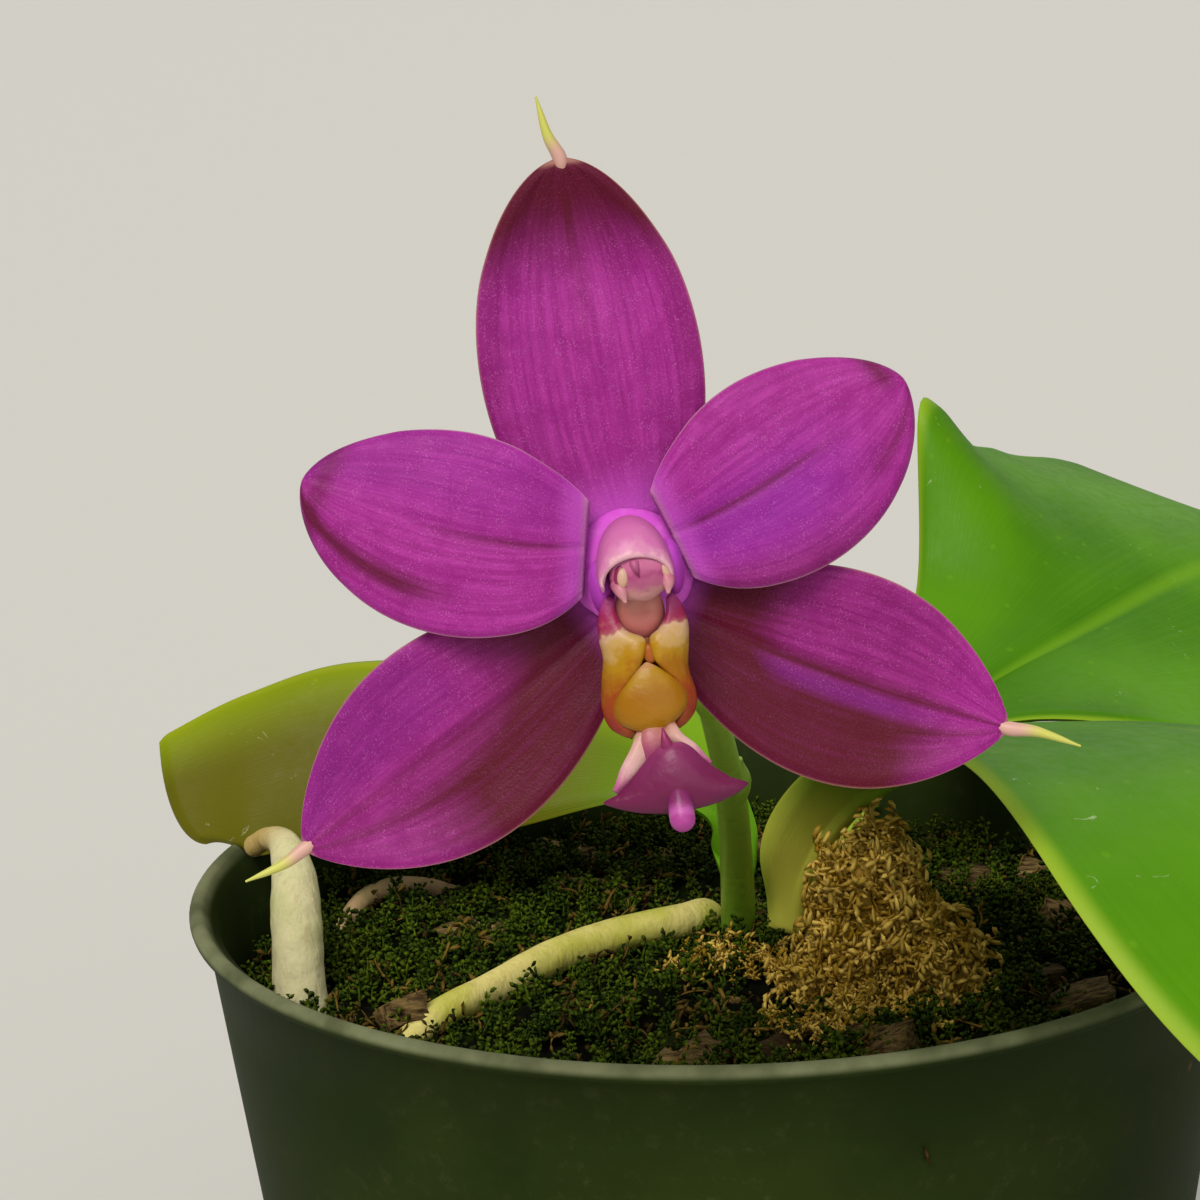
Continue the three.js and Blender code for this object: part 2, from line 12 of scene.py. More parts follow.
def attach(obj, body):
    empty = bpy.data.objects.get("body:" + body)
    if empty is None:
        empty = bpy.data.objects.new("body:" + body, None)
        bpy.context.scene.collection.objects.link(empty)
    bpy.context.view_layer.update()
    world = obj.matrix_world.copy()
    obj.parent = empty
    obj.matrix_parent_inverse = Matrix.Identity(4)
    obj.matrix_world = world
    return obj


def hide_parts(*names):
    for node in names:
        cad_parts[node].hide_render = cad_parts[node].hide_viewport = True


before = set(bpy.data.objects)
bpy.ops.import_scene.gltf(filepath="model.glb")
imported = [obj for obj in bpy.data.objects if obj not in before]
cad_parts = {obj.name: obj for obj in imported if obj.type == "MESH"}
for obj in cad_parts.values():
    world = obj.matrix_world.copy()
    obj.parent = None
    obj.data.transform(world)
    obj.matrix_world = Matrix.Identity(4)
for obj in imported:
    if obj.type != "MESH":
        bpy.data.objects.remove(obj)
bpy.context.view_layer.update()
mm = 0.001
seam = 0.002 * mm    # corners nearer than this are sewn together
tiny = 1e-4          # a step along a curve, for its direction


# Curves and shape functions

# A smooth run through the knots, of which the first and last only steer the ends
def through(knots):
    spans = len(knots) - 3

    def at(t):
        place = np.clip(np.asarray(t, float), 0, 1) * spans
        i = np.minimum(place.astype(int), spans - 1)
        f = place - i
        if knots.ndim > 1:
            f = f[..., None]
        before, start, end, after = knots[i], knots[i + 1], knots[i + 2], knots[i + 3]
        leave = (end - before) / 2
        arrive = (after - start) / 2
        return (start + leave * f + (3 * end - 3 * start - 2 * leave - arrive) * f ** 2
                + (2 * start - 2 * end + leave + arrive) * f ** 3)
    return at


def spline(points):
    knots = np.array(points, float)
    return through(np.vstack([2 * knots[0] - knots[1], knots, 2 * knots[-1] - knots[-2]]))


def level(*values):  # a number that runs through the values, the first at 0 and the last at 1
    return through(np.array([values[0], *values, values[-1]], float))


def lerp(low, high, share):
    return low + (high - low) * share


def smooth(value, low, high):
    share = np.clip((value - low) / (high - low), 0, 1)
    return share * share * (3 - 2 * share)


def hump(value, place, width):
    return np.exp(-((value - place) / width) ** 2)


def unit(vectors):
    return vectors / np.maximum(np.linalg.norm(vectors, axis=-1, keepdims=True), 1e-12)


def roundEnded(values, power):
    width = level(*values)
    return lambda t: width(t) * np.sqrt(np.maximum(1 - np.asarray(t) ** power, 0))


def outline(widest, swell, close, start):
    top = (swell ** swell * close ** close) / (swell + close) ** (swell + close)

    def halfWidth(t):
        x = start + (1 - start) * np.asarray(t, float)
        return widest * x ** swell * np.maximum(1 - x, 0) ** close / top
    return halfWidth


# Soft uneven relief made of a few sines, so that it is the same at every run
def ripple(points, size, seed):
    draw = np.random.default_rng(seed)
    total = np.zeros(points.shape[:-1])
    for octave in range(4):
        for wave in range(3):
            aim = unit(draw.normal(size=3))
            phase = draw.uniform(0, 2 * math.pi)
            pace = 2 * math.pi * 1.9 ** octave / size
            total = total + np.sin(points @ aim * pace + phase) / 1.7 ** octave
    return total / 5


# Meshes from a bent grid

def bentGrid(name, points, values=None):
    rows, columns = points.shape[0] - 1, points.shape[1] - 1
    bm = bmesh.new()
    bmesh.ops.create_grid(bm, x_segments=columns, y_segments=rows, size=1)
    layers = {key: bm.verts.layers.float.new(key) for key in (values or {})}
    for corner in bm.verts:
        column = round((corner.co.x + 1) / 2 * columns)
        row = round((corner.co.y + 1) / 2 * rows)
        corner.co = Vector(points[row, column]) * mm
        for key, layer in layers.items():
            corner[layer] = values[key][row, column]
    closeUp(bm)
    return bmeshPiece(name, bm)


def closeUp(bm):
    bmesh.ops.remove_doubles(bm, verts=bm.verts, dist=seam)
    bmesh.ops.recalc_face_normals(bm, faces=bm.faces)


def bmeshPiece(name, bm):
    mesh = bpy.data.meshes.new(name)
    for face in bm.faces:
        face.smooth = True
    bm.to_mesh(mesh)
    bm.free()
    piece = bpy.data.objects.new(name, mesh)
    bpy.context.scene.collection.objects.link(piece)
    return piece


def dress(piece, material, slot, *nodes):
    piece.data.materials.clear()
    piece.data.materials.append(material)
    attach(piece, "root")
    if nodes:
        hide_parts(*nodes)
    return piece


# How far along a line each share of its length is
def evenly(curve, shares):
    fine = np.linspace(0, 1, 400)
    steps = np.linalg.norm(np.diff(curve(fine), axis=0), axis=1)
    run = np.concatenate([[0], np.cumsum(steps)])
    return np.interp(shares, run / run[-1], fine)


# Rows of rings along a line, with rounded ends. relief(share, angle) swells or pinches the rings.
def rodPiece(name, line, radius, steps, sides, place=None, relief=None, endRound=0.6):
    curve = spline(line)
    share = np.linspace(0, 1, steps + 1)
    centre = curve(evenly(curve, share))
    ahead = unit(np.gradient(centre, axis=0))
    side = unit(np.cross(ahead[0], (0.31, 0.27, 0.91)))
    sideways = []
    for direction in ahead:
        side = unit(side - direction * (side @ direction))
        sideways.append(side)
    width = np.asarray(radius(share), float) * np.ones_like(share)
    quarter = np.linspace(0, math.pi / 2, 5)[:-1]

    def rounded(end, way, angles):
        tip = way * ahead[end] * width[end] * endRound
        return [(centre[end] + tip * math.cos(a), width[end] * math.sin(a)) for a in angles]
    rings = rounded(0, -1, quarter) + list(zip(centre, width)) + rounded(-1, 1, quarter[::-1])
    middles, widths = (np.array(part) for part in zip(*rings))
    ends = ((len(quarter), len(quarter)), (0, 0))
    share = np.pad(share, ends[0], "edge")
    sideways = np.pad(sideways, ends, "edge")
    upward = np.cross(np.pad(ahead, ends, "edge"), sideways)
    angle = np.linspace(0, 2 * math.pi, sides + 1)
    reach = widths[:, None] * np.ones_like(angle)
    if relief is not None:
        reach = reach * (1 + relief(share[:, None], angle[None, :]))
    points = (middles[:, None, :] + sideways[:, None, :] * (reach * np.cos(angle))[..., None]
              + upward[:, None, :] * (reach * np.sin(angle))[..., None])
    points[:, -1] = points[:, 0]
    if place is not None:
        points = place(points)
    return bentGrid(name, points, {"along": share[:, None] * np.ones_like(angle)})


# Blades: leaves, sepals, petals and lobes, as in the part's own solids, closed round their margins

def bladeSurface(blade, t, s):
    curve = blade["curve"]
    centre = curve(t)
    ahead = unit(curve(np.clip(t + tiny, 0, 1)) - curve(np.clip(t - tiny, 0, 1)))
    up = np.array(blade["face"], float)
    side = unit(np.cross(ahead, up))
    face = np.broadcast_to(up, side.shape) if blade.get("upright") else np.cross(side, ahead)
    reach = np.maximum(blade["halfWidth"](t), blade["least"]) * s
    rise = np.radians(blade["lift"](t, s))
    wave = blade["wave"](t, s) if "wave" in blade else 0
    short = blade.get("blunt", 0) * (1 - np.sqrt(1 - 0.95 * s * s)) * t ** 6
    return (centre - ahead * short[..., None] + side * (reach * np.cos(rise))[..., None]
            + face * (np.abs(reach) * np.sin(rise) + wave)[..., None])


def bladePiece(name, blade, rows, columns, thickness, marks=None, **form):
    def surface(t, s):
        return bladeSurface(blade, t, s)

    def fromMargin(t, s):
        return (1 - np.abs(s)) * np.maximum(blade["halfWidth"](t), blade["least"])
    return sheetPiece(name, surface, rows, columns, thickness, fromMargin, blade["length"], marks,
                      crowd=blade.get("crowd", 1.35), **form)


# A thin closed sheet over surface(t, s), t from 0 to 1 and s from -1 to 1, rounded all round its edge
def sheetPiece(name, surface, rows, columns, thickness, fromMargin, length, marks=None, place=None,
               upper=None, under=None, crowd=1.0):
    t = 1 - (1 - np.linspace(0, 1, rows + 1)) ** crowd
    half = np.linspace(0, math.pi, columns + 1)
    across = np.concatenate([-np.cos(half), np.cos(half)[1:]])
    onTop = np.concatenate([np.ones(columns + 1), -np.ones(columns)])
    tt, ss = np.meshgrid(t, across, indexing="ij")
    nudge = 0.004
    sideways = surface(tt, np.minimum(ss + nudge, 1)) - surface(tt, np.maximum(ss - nudge, -1))
    forward = surface(np.minimum(tt + nudge, 1), ss) - surface(np.maximum(tt - nudge, 0), ss)
    normal = unit(np.cross(sideways, forward))
    fromEnds = np.minimum(tt, 1 - tt) * length
    body = np.sqrt(smooth(fromMargin(tt, ss), -0.02, 1.1 * thickness))
    body = body * np.sqrt(smooth(fromEnds, -0.001, 1.2 * thickness))
    body[:, [0, columns, -1]] = 0
    body[[0, -1], :] = 0
    offset = onTop[None, :] * body * thickness / 2
    if upper is not None:
        offset = offset + np.where(onTop > 0, 1, 0)[None, :] * upper(tt, ss) * body
    if under is not None:
        offset = offset + np.where(onTop > 0, 0, 1)[None, :] * under(tt, ss) * body
    points = surface(tt, ss) + normal * offset[..., None]
    points[:, -1] = points[:, 0]
    values = {"along": tt, "across": ss, "top": np.broadcast_to((onTop[None, :] + 1) / 2, tt.shape)}
    for key, mark in (marks or {}).items():
        values[key] = mark(tt, ss)
    if place is not None:
        points = place(points)
    return bentGrid(name, points, values)


# A surface between two edge lines, swelling by a height between them
def between(first, second, swell):
    one, other = spline(first), spline(second)

    def surface(t, s):
        share = ((s + 1) / 2)[..., None]
        lifted = one(t) * (1 - share) + other(t) * share
        lifted[..., 2] = lifted[..., 2] + swell(t) * np.sqrt(np.maximum(1 - s * s, 0))
        return lifted
    return surface


def ballPiece(name, centre, radii, detail=4, place=None, shape=None):
    bm = bmesh.new()
    bmesh.ops.create_icosphere(bm, subdivisions=detail, radius=1)
    along = bm.verts.layers.float.new("along")
    ball = np.array([corner.co for corner in bm.verts])
    points = ball * np.array(radii, float)
    if shape is not None:
        points = shape(ball, points)
    points = points + np.array(centre, float)
    if place is not None:
        points = place(points)
    for corner, point in zip(bm.verts, points):
        corner[along] = (1 - corner.co.y) / 2
        corner.co = Vector(point) * mm
    return bmeshPiece(name, bm)


# A material in the making. Its methods add nodes and return their output, and over lays on one more colour.
class Look:
    def __init__(self, name, roughness, shine=None):
        self.made = bpy.data.materials.new(name)
        self.made.use_nodes = True
        self.shader = self.made.node_tree.nodes["Principled BSDF"]
        self.place = self.node("ShaderNodeTexCoord", {})["Object"]
        self.colour = None
        self.feed(self.shader, {"Roughness": roughness})
        if shine is not None:
            self.feed(self.shader, {"Specular IOR Level": shine})

    def feed(self, node, values):
        for key, value in values.items():
            if isinstance(value, bpy.types.NodeSocket):
                self.made.node_tree.links.new(value, node.inputs[key])
            else:
                node.inputs[key].default_value = paint(value) if isinstance(value, str) else value

    def node(self, kind, values, **settings):
        new = self.made.node_tree.nodes.new(kind)
        for key, value in settings.items():
            setattr(new, key, value)
        self.feed(new, values)
        return new.outputs

    def attribute(self, name):
        return self.node("ShaderNodeAttribute", {}, attribute_name=name)["Fac"]

    def maths(self, operation, first, second=0.0, clamp=False):
        return self.node("ShaderNodeMath", {0: first, 1: second}, operation=operation, use_clamp=clamp)[0]

    def times(self, first, second, clamp=False):
        return self.maths("MULTIPLY", first, second, clamp)

    def stretched(self, *scale):
        return self.node("ShaderNodeMapping", {"Scale": scale, "Vector": self.place})["Vector"]

    def flat(self, along, across):  # the blade laid flat, as long and as wide as given in millimetres
        x = self.times(self.attribute("along"), along * mm)
        y = self.times(self.attribute("across"), across * mm)
        return self.node("ShaderNodeCombineXYZ", {"X": x, "Y": y})["Vector"]

    def noise(self, size, detail, rough=0.5, twist=0.0, place=None):  # size is in millimetres
        return self.node("ShaderNodeTexNoise", {
            "Vector": self.place if place is None else place, "Scale": 1 / (size * mm), "Detail": detail,
            "Roughness": rough, "Distortion": twist})["Fac"]

    def cells(self, size):
        return self.node("ShaderNodeTexVoronoi", {"Vector": self.place, "Scale": 1 / (size * mm)})["Distance"]

    def span(self, value, low, high, start=0.0, end=1.0):
        ends = {"Value": value, "From Min": low, "From Max": high, "To Min": start, "To Max": end}
        return self.node("ShaderNodeMapRange", ends, interpolation_type="SMOOTHSTEP")["Result"]

    def blend(self, share, first, second):  # inputs 6 and 7 and output 2 are the colours
        return self.node("ShaderNodeMix", {"Factor": share, 6: first, 7: second}, data_type="RGBA")[2]

    def ground(self, share, first, second):
        self.colour = self.blend(share, first, second)

    def over(self, share, colour, amount=None):
        if amount is not None:
            share = self.times(share, amount)
        self.colour = self.blend(share, self.colour, colour)

    def bump(self, height, depth, below=None):  # depth is in millimetres
        values = {"Strength": 1, "Distance": depth * mm, "Height": height}
        if below is not None:
            values["Normal"] = below
        return self.node("ShaderNodeBump", values)["Normal"]

    def done(self, normal=None, roughness=None):
        values = {"Base Color": self.colour, "Normal": normal, "Roughness": roughness}
        self.feed(self.shader, {key: value for key, value in values.items() if value is not None})
        return self.made


def paint(code):  # a screen colour as the linear one that a shader takes
    parts = [int(code[i:i + 2], 16) / 255 for i in (1, 3, 5)]
    return (*(p / 12.92 if p <= 0.04045 else ((p + 0.055) / 1.055) ** 2.4 for p in parts), 1)


# Camera, light and floor

view = {
    "place": (-10.42, -255.45, 172.92),
    "down": 12.76,      # degrees below level
    "roll": -2.11,
    "lens": 84,
    "sensor": 36,
}


def makeCamera():
    down, roll = math.radians(view["down"]), math.radians(view["roll"])
    ahead = Vector((0, math.cos(down), -math.sin(down)))
    across = Vector((1, 0, 0))
    upright = across.cross(ahead)
    right = across * math.cos(roll) + upright * math.sin(roll)
    up = upright * math.cos(roll) - across * math.sin(roll)
    data = bpy.data.cameras.new("camera")
    data.lens = view["lens"]
    data.sensor_width = view["sensor"]
    data.clip_start = 0.005
    data.clip_end = 400
    camera = bpy.data.objects.new("camera", data)
    turn = Matrix((right, up, -ahead)).transposed().to_4x4()
    camera.matrix_world = Matrix.Translation(Vector(view["place"]) * mm) @ turn
    bpy.context.scene.collection.objects.link(camera)
    bpy.context.scene.camera = camera


lighting = {
    "keyLight": {"from": (-0.36, -0.75, 1.0), "spread": 30, "strength": 2.3, "colour": (1, 0.95, 0.86)},
    "fillLight": {"from": (0.35, -1, 0.42), "spread": 60, "strength": 0.95, "colour": (1, 0.96, 0.9)},
    "backLight": {"from": (0.2, 0.9, 0.8), "spread": 60, "strength": 0.45, "colour": (1, 0.98, 0.93)},
}


def makeLights():
    for name, light in lighting.items():
        data = bpy.data.lights.new(name, "SUN")
        data.angle = math.radians(light["spread"])
        data.energy = light["strength"]
        data.color = light["colour"]
        lamp = bpy.data.objects.new(name, data)
        lamp.location = light["from"]
        lamp.rotation_euler = (-lamp.location).to_track_quat("-Z", "Y").to_euler()
        bpy.context.scene.collection.objects.link(lamp)
    world = bpy.data.worlds.new("studio")
    world.use_nodes = True
    sky = world.node_tree.nodes["Background"].inputs
    sky["Color"].default_value = (0.92, 0.9, 0.87, 1)
    sky["Strength"].default_value = 0.3
    bpy.context.scene.world = world
    bpy.context.scene.view_settings.view_transform = "Standard"


def makeFloor():
    bm = bmesh.new()
    bmesh.ops.create_grid(bm, x_segments=1, y_segments=1, size=150)
    floor = bmeshPiece("studio_floor", bm)
    paper = Look("studioPaper", 0.9)
    paper.colour = (0.62, 0.62, 0.6, 1)
    floor.data.materials.append(paper.done())


makeCamera()
makeLights()
makeFloor()
print("camera, lights and floor")


# The pot

pot = {
    "height": 88.5,
    "rimRadius": 50.3,
    "bead": 0.8,
    "rimStep": 1.25,
    "baseRadius": 37.3,
    "wall": 1.2,
    "floor": 1.6,
    "sides": 160,
    "drainRadius": 4,
    "drainCircle": 24,
    "drainCount": 6,
}
wallSlope = (pot["rimRadius"] - pot["rimStep"] - pot["baseRadius"]) / pot["height"]


def outerAt(z):
    return pot["baseRadius"] + wallSlope * z


def innerAt(z):
    return outerAt(z) - pot["wall"]


def plasticLook():
    look = Look("potPlastic", 0.62, 0.04)
    cloud = look.noise(18, 4)
    dust = look.noise(1.6, 5, 0.7)
    height = look.node("ShaderNodeSeparateXYZ", {"Vector": look.place})["Z"]
    # the top of the rim bead, which gets a painted highlight
    rim = look.span(height, (pot["height"] - 1.1) * mm, (pot["height"] - 0.4) * mm)
    look.ground(look.span(cloud, 0.3, 0.75), "#1e2a0c", "#2a3612")
    look.over(look.times(look.span(dust, 0.52, 0.75), look.span(cloud, 0.35, 0.7), True), "#4f5336", 0.35)
    look.over(look.span(look.cells(9), 0.09, 0.03), "#6b4a2c", 0.75)
    # painted highlight: a pale grey-green band along the top of the rim
    look.over(look.times(rim, look.span(look.noise(5, 4), 0.3, 0.7, 0.3, 0.7)), "#8a8f6c")
    return look.done(look.bump(dust, 0.03), look.span(cloud, 0.3, 0.8, 0.55, 0.7))


def makePot():
    top = pot["height"]
    bead = pot["bead"]
    beadCentre = (pot["rimRadius"] - bead, top - bead)
    profile = [(0, 0), (pot["baseRadius"] - 1.2, 0), (pot["baseRadius"] - 0.3, 0.35), (outerAt(1.2), 1.2)]
    profile += [(outerAt(z), z) for z in np.linspace(6, top - 2.4 * bead, 12)]
    for step in range(15):
        angle = math.radians(lerp(-80, 165, step / 14))
        profile.append((beadCentre[0] + bead * math.cos(angle), beadCentre[1] + bead * math.sin(angle)))
    profile += [(innerAt(z), z) for z in np.linspace(top - 1.5, pot["floor"] + 1.5, 12)]
    profile += [(innerAt(pot["floor"]) - 1.2, pot["floor"]), (0, pot["floor"])]
    bm = bmesh.new()
    corners = [bm.verts.new((radius * mm, 0, z * mm)) for radius, z in profile]
    edges = [bm.edges.new(pair) for pair in zip(corners, corners[1:])]
    bmesh.ops.spin(bm, geom=corners + edges, cent=(0, 0, 0), axis=(0, 0, 1), angle=2 * math.pi,
                   steps=pot["sides"], use_merge=True)
    closeUp(bm)
    shell = bmeshPiece("pot_shell", bm)
    drill = bmesh.new()
    for hole in range(pot["drainCount"]):
        angle = 2 * math.pi * hole / pot["drainCount"]
        place = (pot["drainCircle"] * mm * math.cos(angle), pot["drainCircle"] * mm * math.sin(angle), 0)
        bmesh.ops.create_cone(drill, cap_ends=True, segments=32, radius1=pot["drainRadius"] * mm,
                              radius2=pot["drainRadius"] * mm, depth=6 * pot["floor"] * mm,
                              matrix=Matrix.Translation(place))
    cutter = bmeshPiece("drain_cutter", drill)
    cut = shell.modifiers.new("drains", "BOOLEAN")
    cut.object = cutter
    cut.operation = "DIFFERENCE"
    cut.solver = "EXACT"
    whole = shell.evaluated_get(bpy.context.evaluated_depsgraph_get())
    shell.data = bpy.data.meshes.new_from_object(whole)
    shell.modifiers.clear()
    bpy.data.objects.remove(cutter)
    dress(shell, plasticLook(), "pot_plastic", "pot")


makePot()
print("pot")


# The lines of roots, stalk and crown

lines = {
    "paleRoot": [(-38.5, -9, 70), (-39.9, -6.8, 80), (-40.1, -4.6, 86), (-40.5, -1.6, 90), (-41.6, 1.8, 91.8),
                 (-43.5, 4.8, 91.5), (-45.2, 6.8, 90.1)],
    "frontRoot": [(-1, 14, 73), (-0.8, 10, 79.6), (-3.5, 5.6, 81.2), (-9.7, 3, 81), (-15.5, -1.4, 80.8),
                  (-21, -8, 80.4), (-28, -15.6, 79.4), (-32.5, -21, 75)],
    "smallRoot": [(-25, 29, 76), (-31, 25, 79.4), (-35.3, 20.7, 80), (-37.6, 15.5, 78.6), (-38.5, 12, 74)],
    "stalk": [(2.2, 7, 70), (2, 5.6, 79), (1.7, 0, 88.5), (0.8, -10, 99.5), (-1.2, -22, 110.5),
              (-3.2, -33, 119.5), (-4.6, -42, 126.5)],
    "crown": [(8, 8.5, 66), (8, 8.5, 76), (8.5, 9, 84)],
}


# The mix: dark crumbly ground, bark chips, living moss and dry bits

mix = {
    "level": 79,
    "relief": 1.1,
    "mossSprigs": 2900,
    "dryBits": 480,
    "chips": 30,
}


def soilHeight(x, y):
    return mix["level"] + mix["relief"] * (
        0.5 * np.sin(0.31 * x + 1.3) * np.cos(0.27 * y - 0.4) + 0.35 * np.sin(0.62 * x - 0.51 * y)
        + 0.25 * np.cos(0.9 * y + 0.37 * x))


def groundLook():
    look = Look("mossyGround", 0.95, 0.08)
    broad = look.noise(7, 5, 0.6)
    fine = look.noise(1.1, 6, 0.7)
    look.ground(look.span(fine, 0.35, 0.7), "#060602", "#14160a")
    look.over(look.span(broad, 0.5, 0.68), "#263408")
    look.over(look.times(look.span(look.cells(1.7), 0.22, 0.08), look.span(broad, 0.35, 0.6)), "#58431c")
    return look.done(look.bump(fine, 0.8))


def makeGround():
    top = mix["level"]
    edge = innerAt(top - 2) - 0.3
    floor = pot["floor"] + 0.3
    rings = [(0.01, floor), (innerAt(floor) - 0.3, floor), (edge, top - 3), (edge + 0.05, top - 0.6)]
    rings += [(edge * (1 - step / 70), top) for step in range(70)] + [(0.01, top)]
    angle = np.linspace(0, 2 * math.pi, 181)
    radius, height = np.array(rings).T
    x = radius[:, None] * np.cos(angle)
    y = radius[:, None] * np.sin(angle)
    z = height[:, None] * np.ones_like(angle)
    flat = np.stack([x, y, z], -1)
    crumbs = ripple(flat, 9, 5) * 1.4 + ripple(flat, 3.1, 6) * 0.9
    surface = (np.abs(height - top) < 0.01)[:, None]
    z = np.where(surface, soilHeight(x, y) - 0.5 + crumbs, z)
    points = np.stack([x, y, z], -1)
    points[0, :, :2] = 0
    points[-1] = points[-1].mean(axis=0)
    points[:, -1] = points[:, 0]
    dress(bentGrid("mix_ground", points), groundLook(), "mossy_mix", "potting_mix")


# Many copies of one small shape, joined in one mesh
def scatter(name, shapes, places):
    bm = bmesh.new()
    for key in ("along", "tone"):
        bm.verts.layers.float.new(key)
    for pick, place, tone in places:
        copy = shapes[pick].copy()
        copy.transform(place)
        spot = copy.attributes["tone"]
        spot.data.foreach_set("value", [tone] * len(copy.vertices))
        bm.from_mesh(copy)
        bpy.data.meshes.remove(copy)
    return bmeshPiece(name, bm)


# The small shapes to be copied, each built with draws of its own
def templates(name, count, seed, build, *form):
    made = []
    for k in range(count):
        bm = bmesh.new()
        along = bm.verts.layers.float.new("along")
        bm.verts.layers.float.new("tone")
        build(bm, along, random.Random(seed + k), *form)
        bmesh.ops.recalc_face_normals(bm, faces=bm.faces)
        mesh = bpy.data.meshes.new(f"{name}{k}")
        bm.to_mesh(mesh)
        bm.free()
        made.append(mesh)
    return made


# A slim spike on a bent line, with few sides, closed to a point at both ends
def addSpike(bm, along, line, radius, sides=3, joints=3):
    curve = spline(line)
    corners = bmesh.ops.create_grid(bm, x_segments=sides, y_segments=joints, size=1)["verts"]
    for corner in corners:
        t = (corner.co.y + 1) / 2
        angle = math.pi * (corner.co.x + 1)
        ahead = unit(curve(np.array(min(t + 0.02, 1))) - curve(np.array(max(t - 0.02, 0))))
        side = unit(np.cross(ahead, (0.3, 0.5, 0.8)))
        out = side * math.cos(angle) + np.cross(ahead, side) * math.sin(angle)
        width = radius(t) if 0.01 < t < 0.99 else 0
        corner.co = Vector(curve(np.array(t)) + out * width) * mm
        corner[along] = t
    bmesh.ops.remove_doubles(bm, verts=corners, dist=seam)


def mossSprig(bm, along, draw):
    lean = draw.uniform(-0.5, 0.5)
    stem = [(0, 0, -0.8), (lean * 0.5, 0, 1), (lean * 1.6, 0.3, 2.6)]
    addSpike(bm, along, stem, lambda t: 0.17)
    line = spline(stem)
    for leaf in range(9):
        t = 0.25 + 0.75 * leaf / 8
        root = line(np.array(t))
        angle = leaf * 2.4 + draw.uniform(-0.3, 0.3)
        out = np.array([math.cos(angle), math.sin(angle), 0.75])
        size = lerp(1.15, 0.65, t) * draw.uniform(0.8, 1.15)
        addSpike(bm, along, [root, root + out * size * 0.55, root + out * size + np.array([0, 0, -0.12])],
                 lambda u: 0.06 + 0.17 * math.sin(math.pi * u))


def strandTwist(bm, along, draw, length, curl, branches):
    points = [np.zeros(3)]
    aim = np.array([0, 0, 1.0])
    for step in range(4):
        aim = unit(aim + [draw.uniform(-curl, curl), draw.uniform(-curl, curl), draw.uniform(-0.2, 0.2)])
        points.append(points[-1] + aim * length / 4)
    addSpike(bm, along, points, lambda t: lerp(0.24, 0.12, t), joints=5)
    line = spline(points)
    for branch in range(branches):
        t = 0.2 + 0.75 * branch / max(branches - 1, 1)
        root = line(np.array(t))
        angle = branch * 2.4 + draw.uniform(-0.5, 0.5)
        out = np.array([math.cos(angle), math.sin(angle), draw.uniform(-0.3, 0.7)])
        size = draw.uniform(0.7, 1.7)
        addSpike(bm, along, [root, root + out * size * 0.5, root + out * size + np.array([0, 0, -0.3])],
                 lambda u: 0.07 + 0.2 * math.sin(math.pi * u))


anyTurn = (0, 6.28)


def placeOn(x, y, z, lean, turn, size):
    return (Matrix.Translation(Vector((x, y, z)) * mm) @ Matrix.Rotation(turn, 4, "Z")
            @ Matrix.Rotation(lean, 4, "X") @ Matrix.Rotation(turn * 3.7, 4, "Z") @ Matrix.Scale(size, 4))


# Which of the shapes it is, how it lies and its tone, each drawn between the bounds that are given
def dropped(draw, shapes, x, y, z, lean, size, fade=1):
    pick = draw.randrange(shapes)
    place = placeOn(x, y, z, draw.uniform(*lean), draw.uniform(*anyTurn), draw.uniform(*size))
    return pick, place, draw.random() ** fade


def underHeap(x, y, grow=1.0):
    return ((x - 14) / (13 * grow)) ** 2 + ((y + 8.5) / (9.5 * grow)) ** 2 < 1


def mossLook():
    look = Look("livingMoss", 0.75, 0.1)
    tone = look.attribute("tone")
    dark = look.blend(tone, "#0c1802", "#203202")
    bright = look.blend(tone, "#223804", "#5e7410")
    look.ground(look.attribute("along"), dark, bright)
    return look.done()


def dryLook(name, dark, pale):
    look = Look(name, 0.9, 0.12)
    spots = look.span(look.noise(1.4, 4, 0.6), 0.3, 0.7, -0.15, 0.25)
    look.ground(look.maths("ADD", look.times(look.attribute("tone"), 0.8), spots, True), dark, pale)
    look.over(look.span(look.noise(5, 3), 0.5, 0.7, 0, 0.35), "#3c3008")
    return look.done(look.bump(look.noise(0.35, 3), 0.06))


def makeMoss():
    draw = random.Random(7)
    sprigs = templates("sprig", 4, 40, mossSprig)
    strands = templates("dryStrand", 4, 60, strandTwist, 4.2, 0.55, 4)
    spread = innerAt(mix["level"]) - 1.0
    green, dry = [], []
    while len(green) < mix["mossSprigs"] or len(dry) < mix["dryBits"]:
        radius = spread * math.sqrt(draw.random())
        angle = draw.uniform(0, 2 * math.pi)
        x, y = radius * math.cos(angle), radius * math.sin(angle)
        patch = math.sin(x * 0.19 + 1.1) * math.cos(y * 0.17 - 0.6) + 0.5 * math.sin(x * 0.41 - y * 0.36)
        mound = 1.8 * math.exp(-((patch - 0.9) / 0.5) ** 2)
        z = float(soilHeight(x, y)) - 0.6 + draw.uniform(0, 1) * mound
        isDry = draw.random() < 0.3
        if underHeap(x, y, 0.9):
            continue
        if isDry and len(dry) < mix["dryBits"]:
            dry.append(dropped(draw, 4, x, y, z + 0.7, (0.9, 1.65), (0.5, 1.1), 1.5))
        elif not isDry and len(green) < mix["mossSprigs"] and (patch > -0.35 or draw.random() < 0.35):
            green.append(dropped(draw, 4, x, y, z, (0, 0.75), (0.55, 1.2)))
    dress(scatter("moss_sprigs", sprigs, green), mossLook(), "mossy_mix")
    dress(scatter("dry_bits", strands, dry), dryLook("dryBits", "#2a2008", "#9a7c34"), "dry_moss")


chipPlaces = [(-12.6, 22.6), (12, -25), (-24, 8), (26, 22), (-6, -28), (32, -16), (-30, -14), (6, 33),
              (34, 6)]


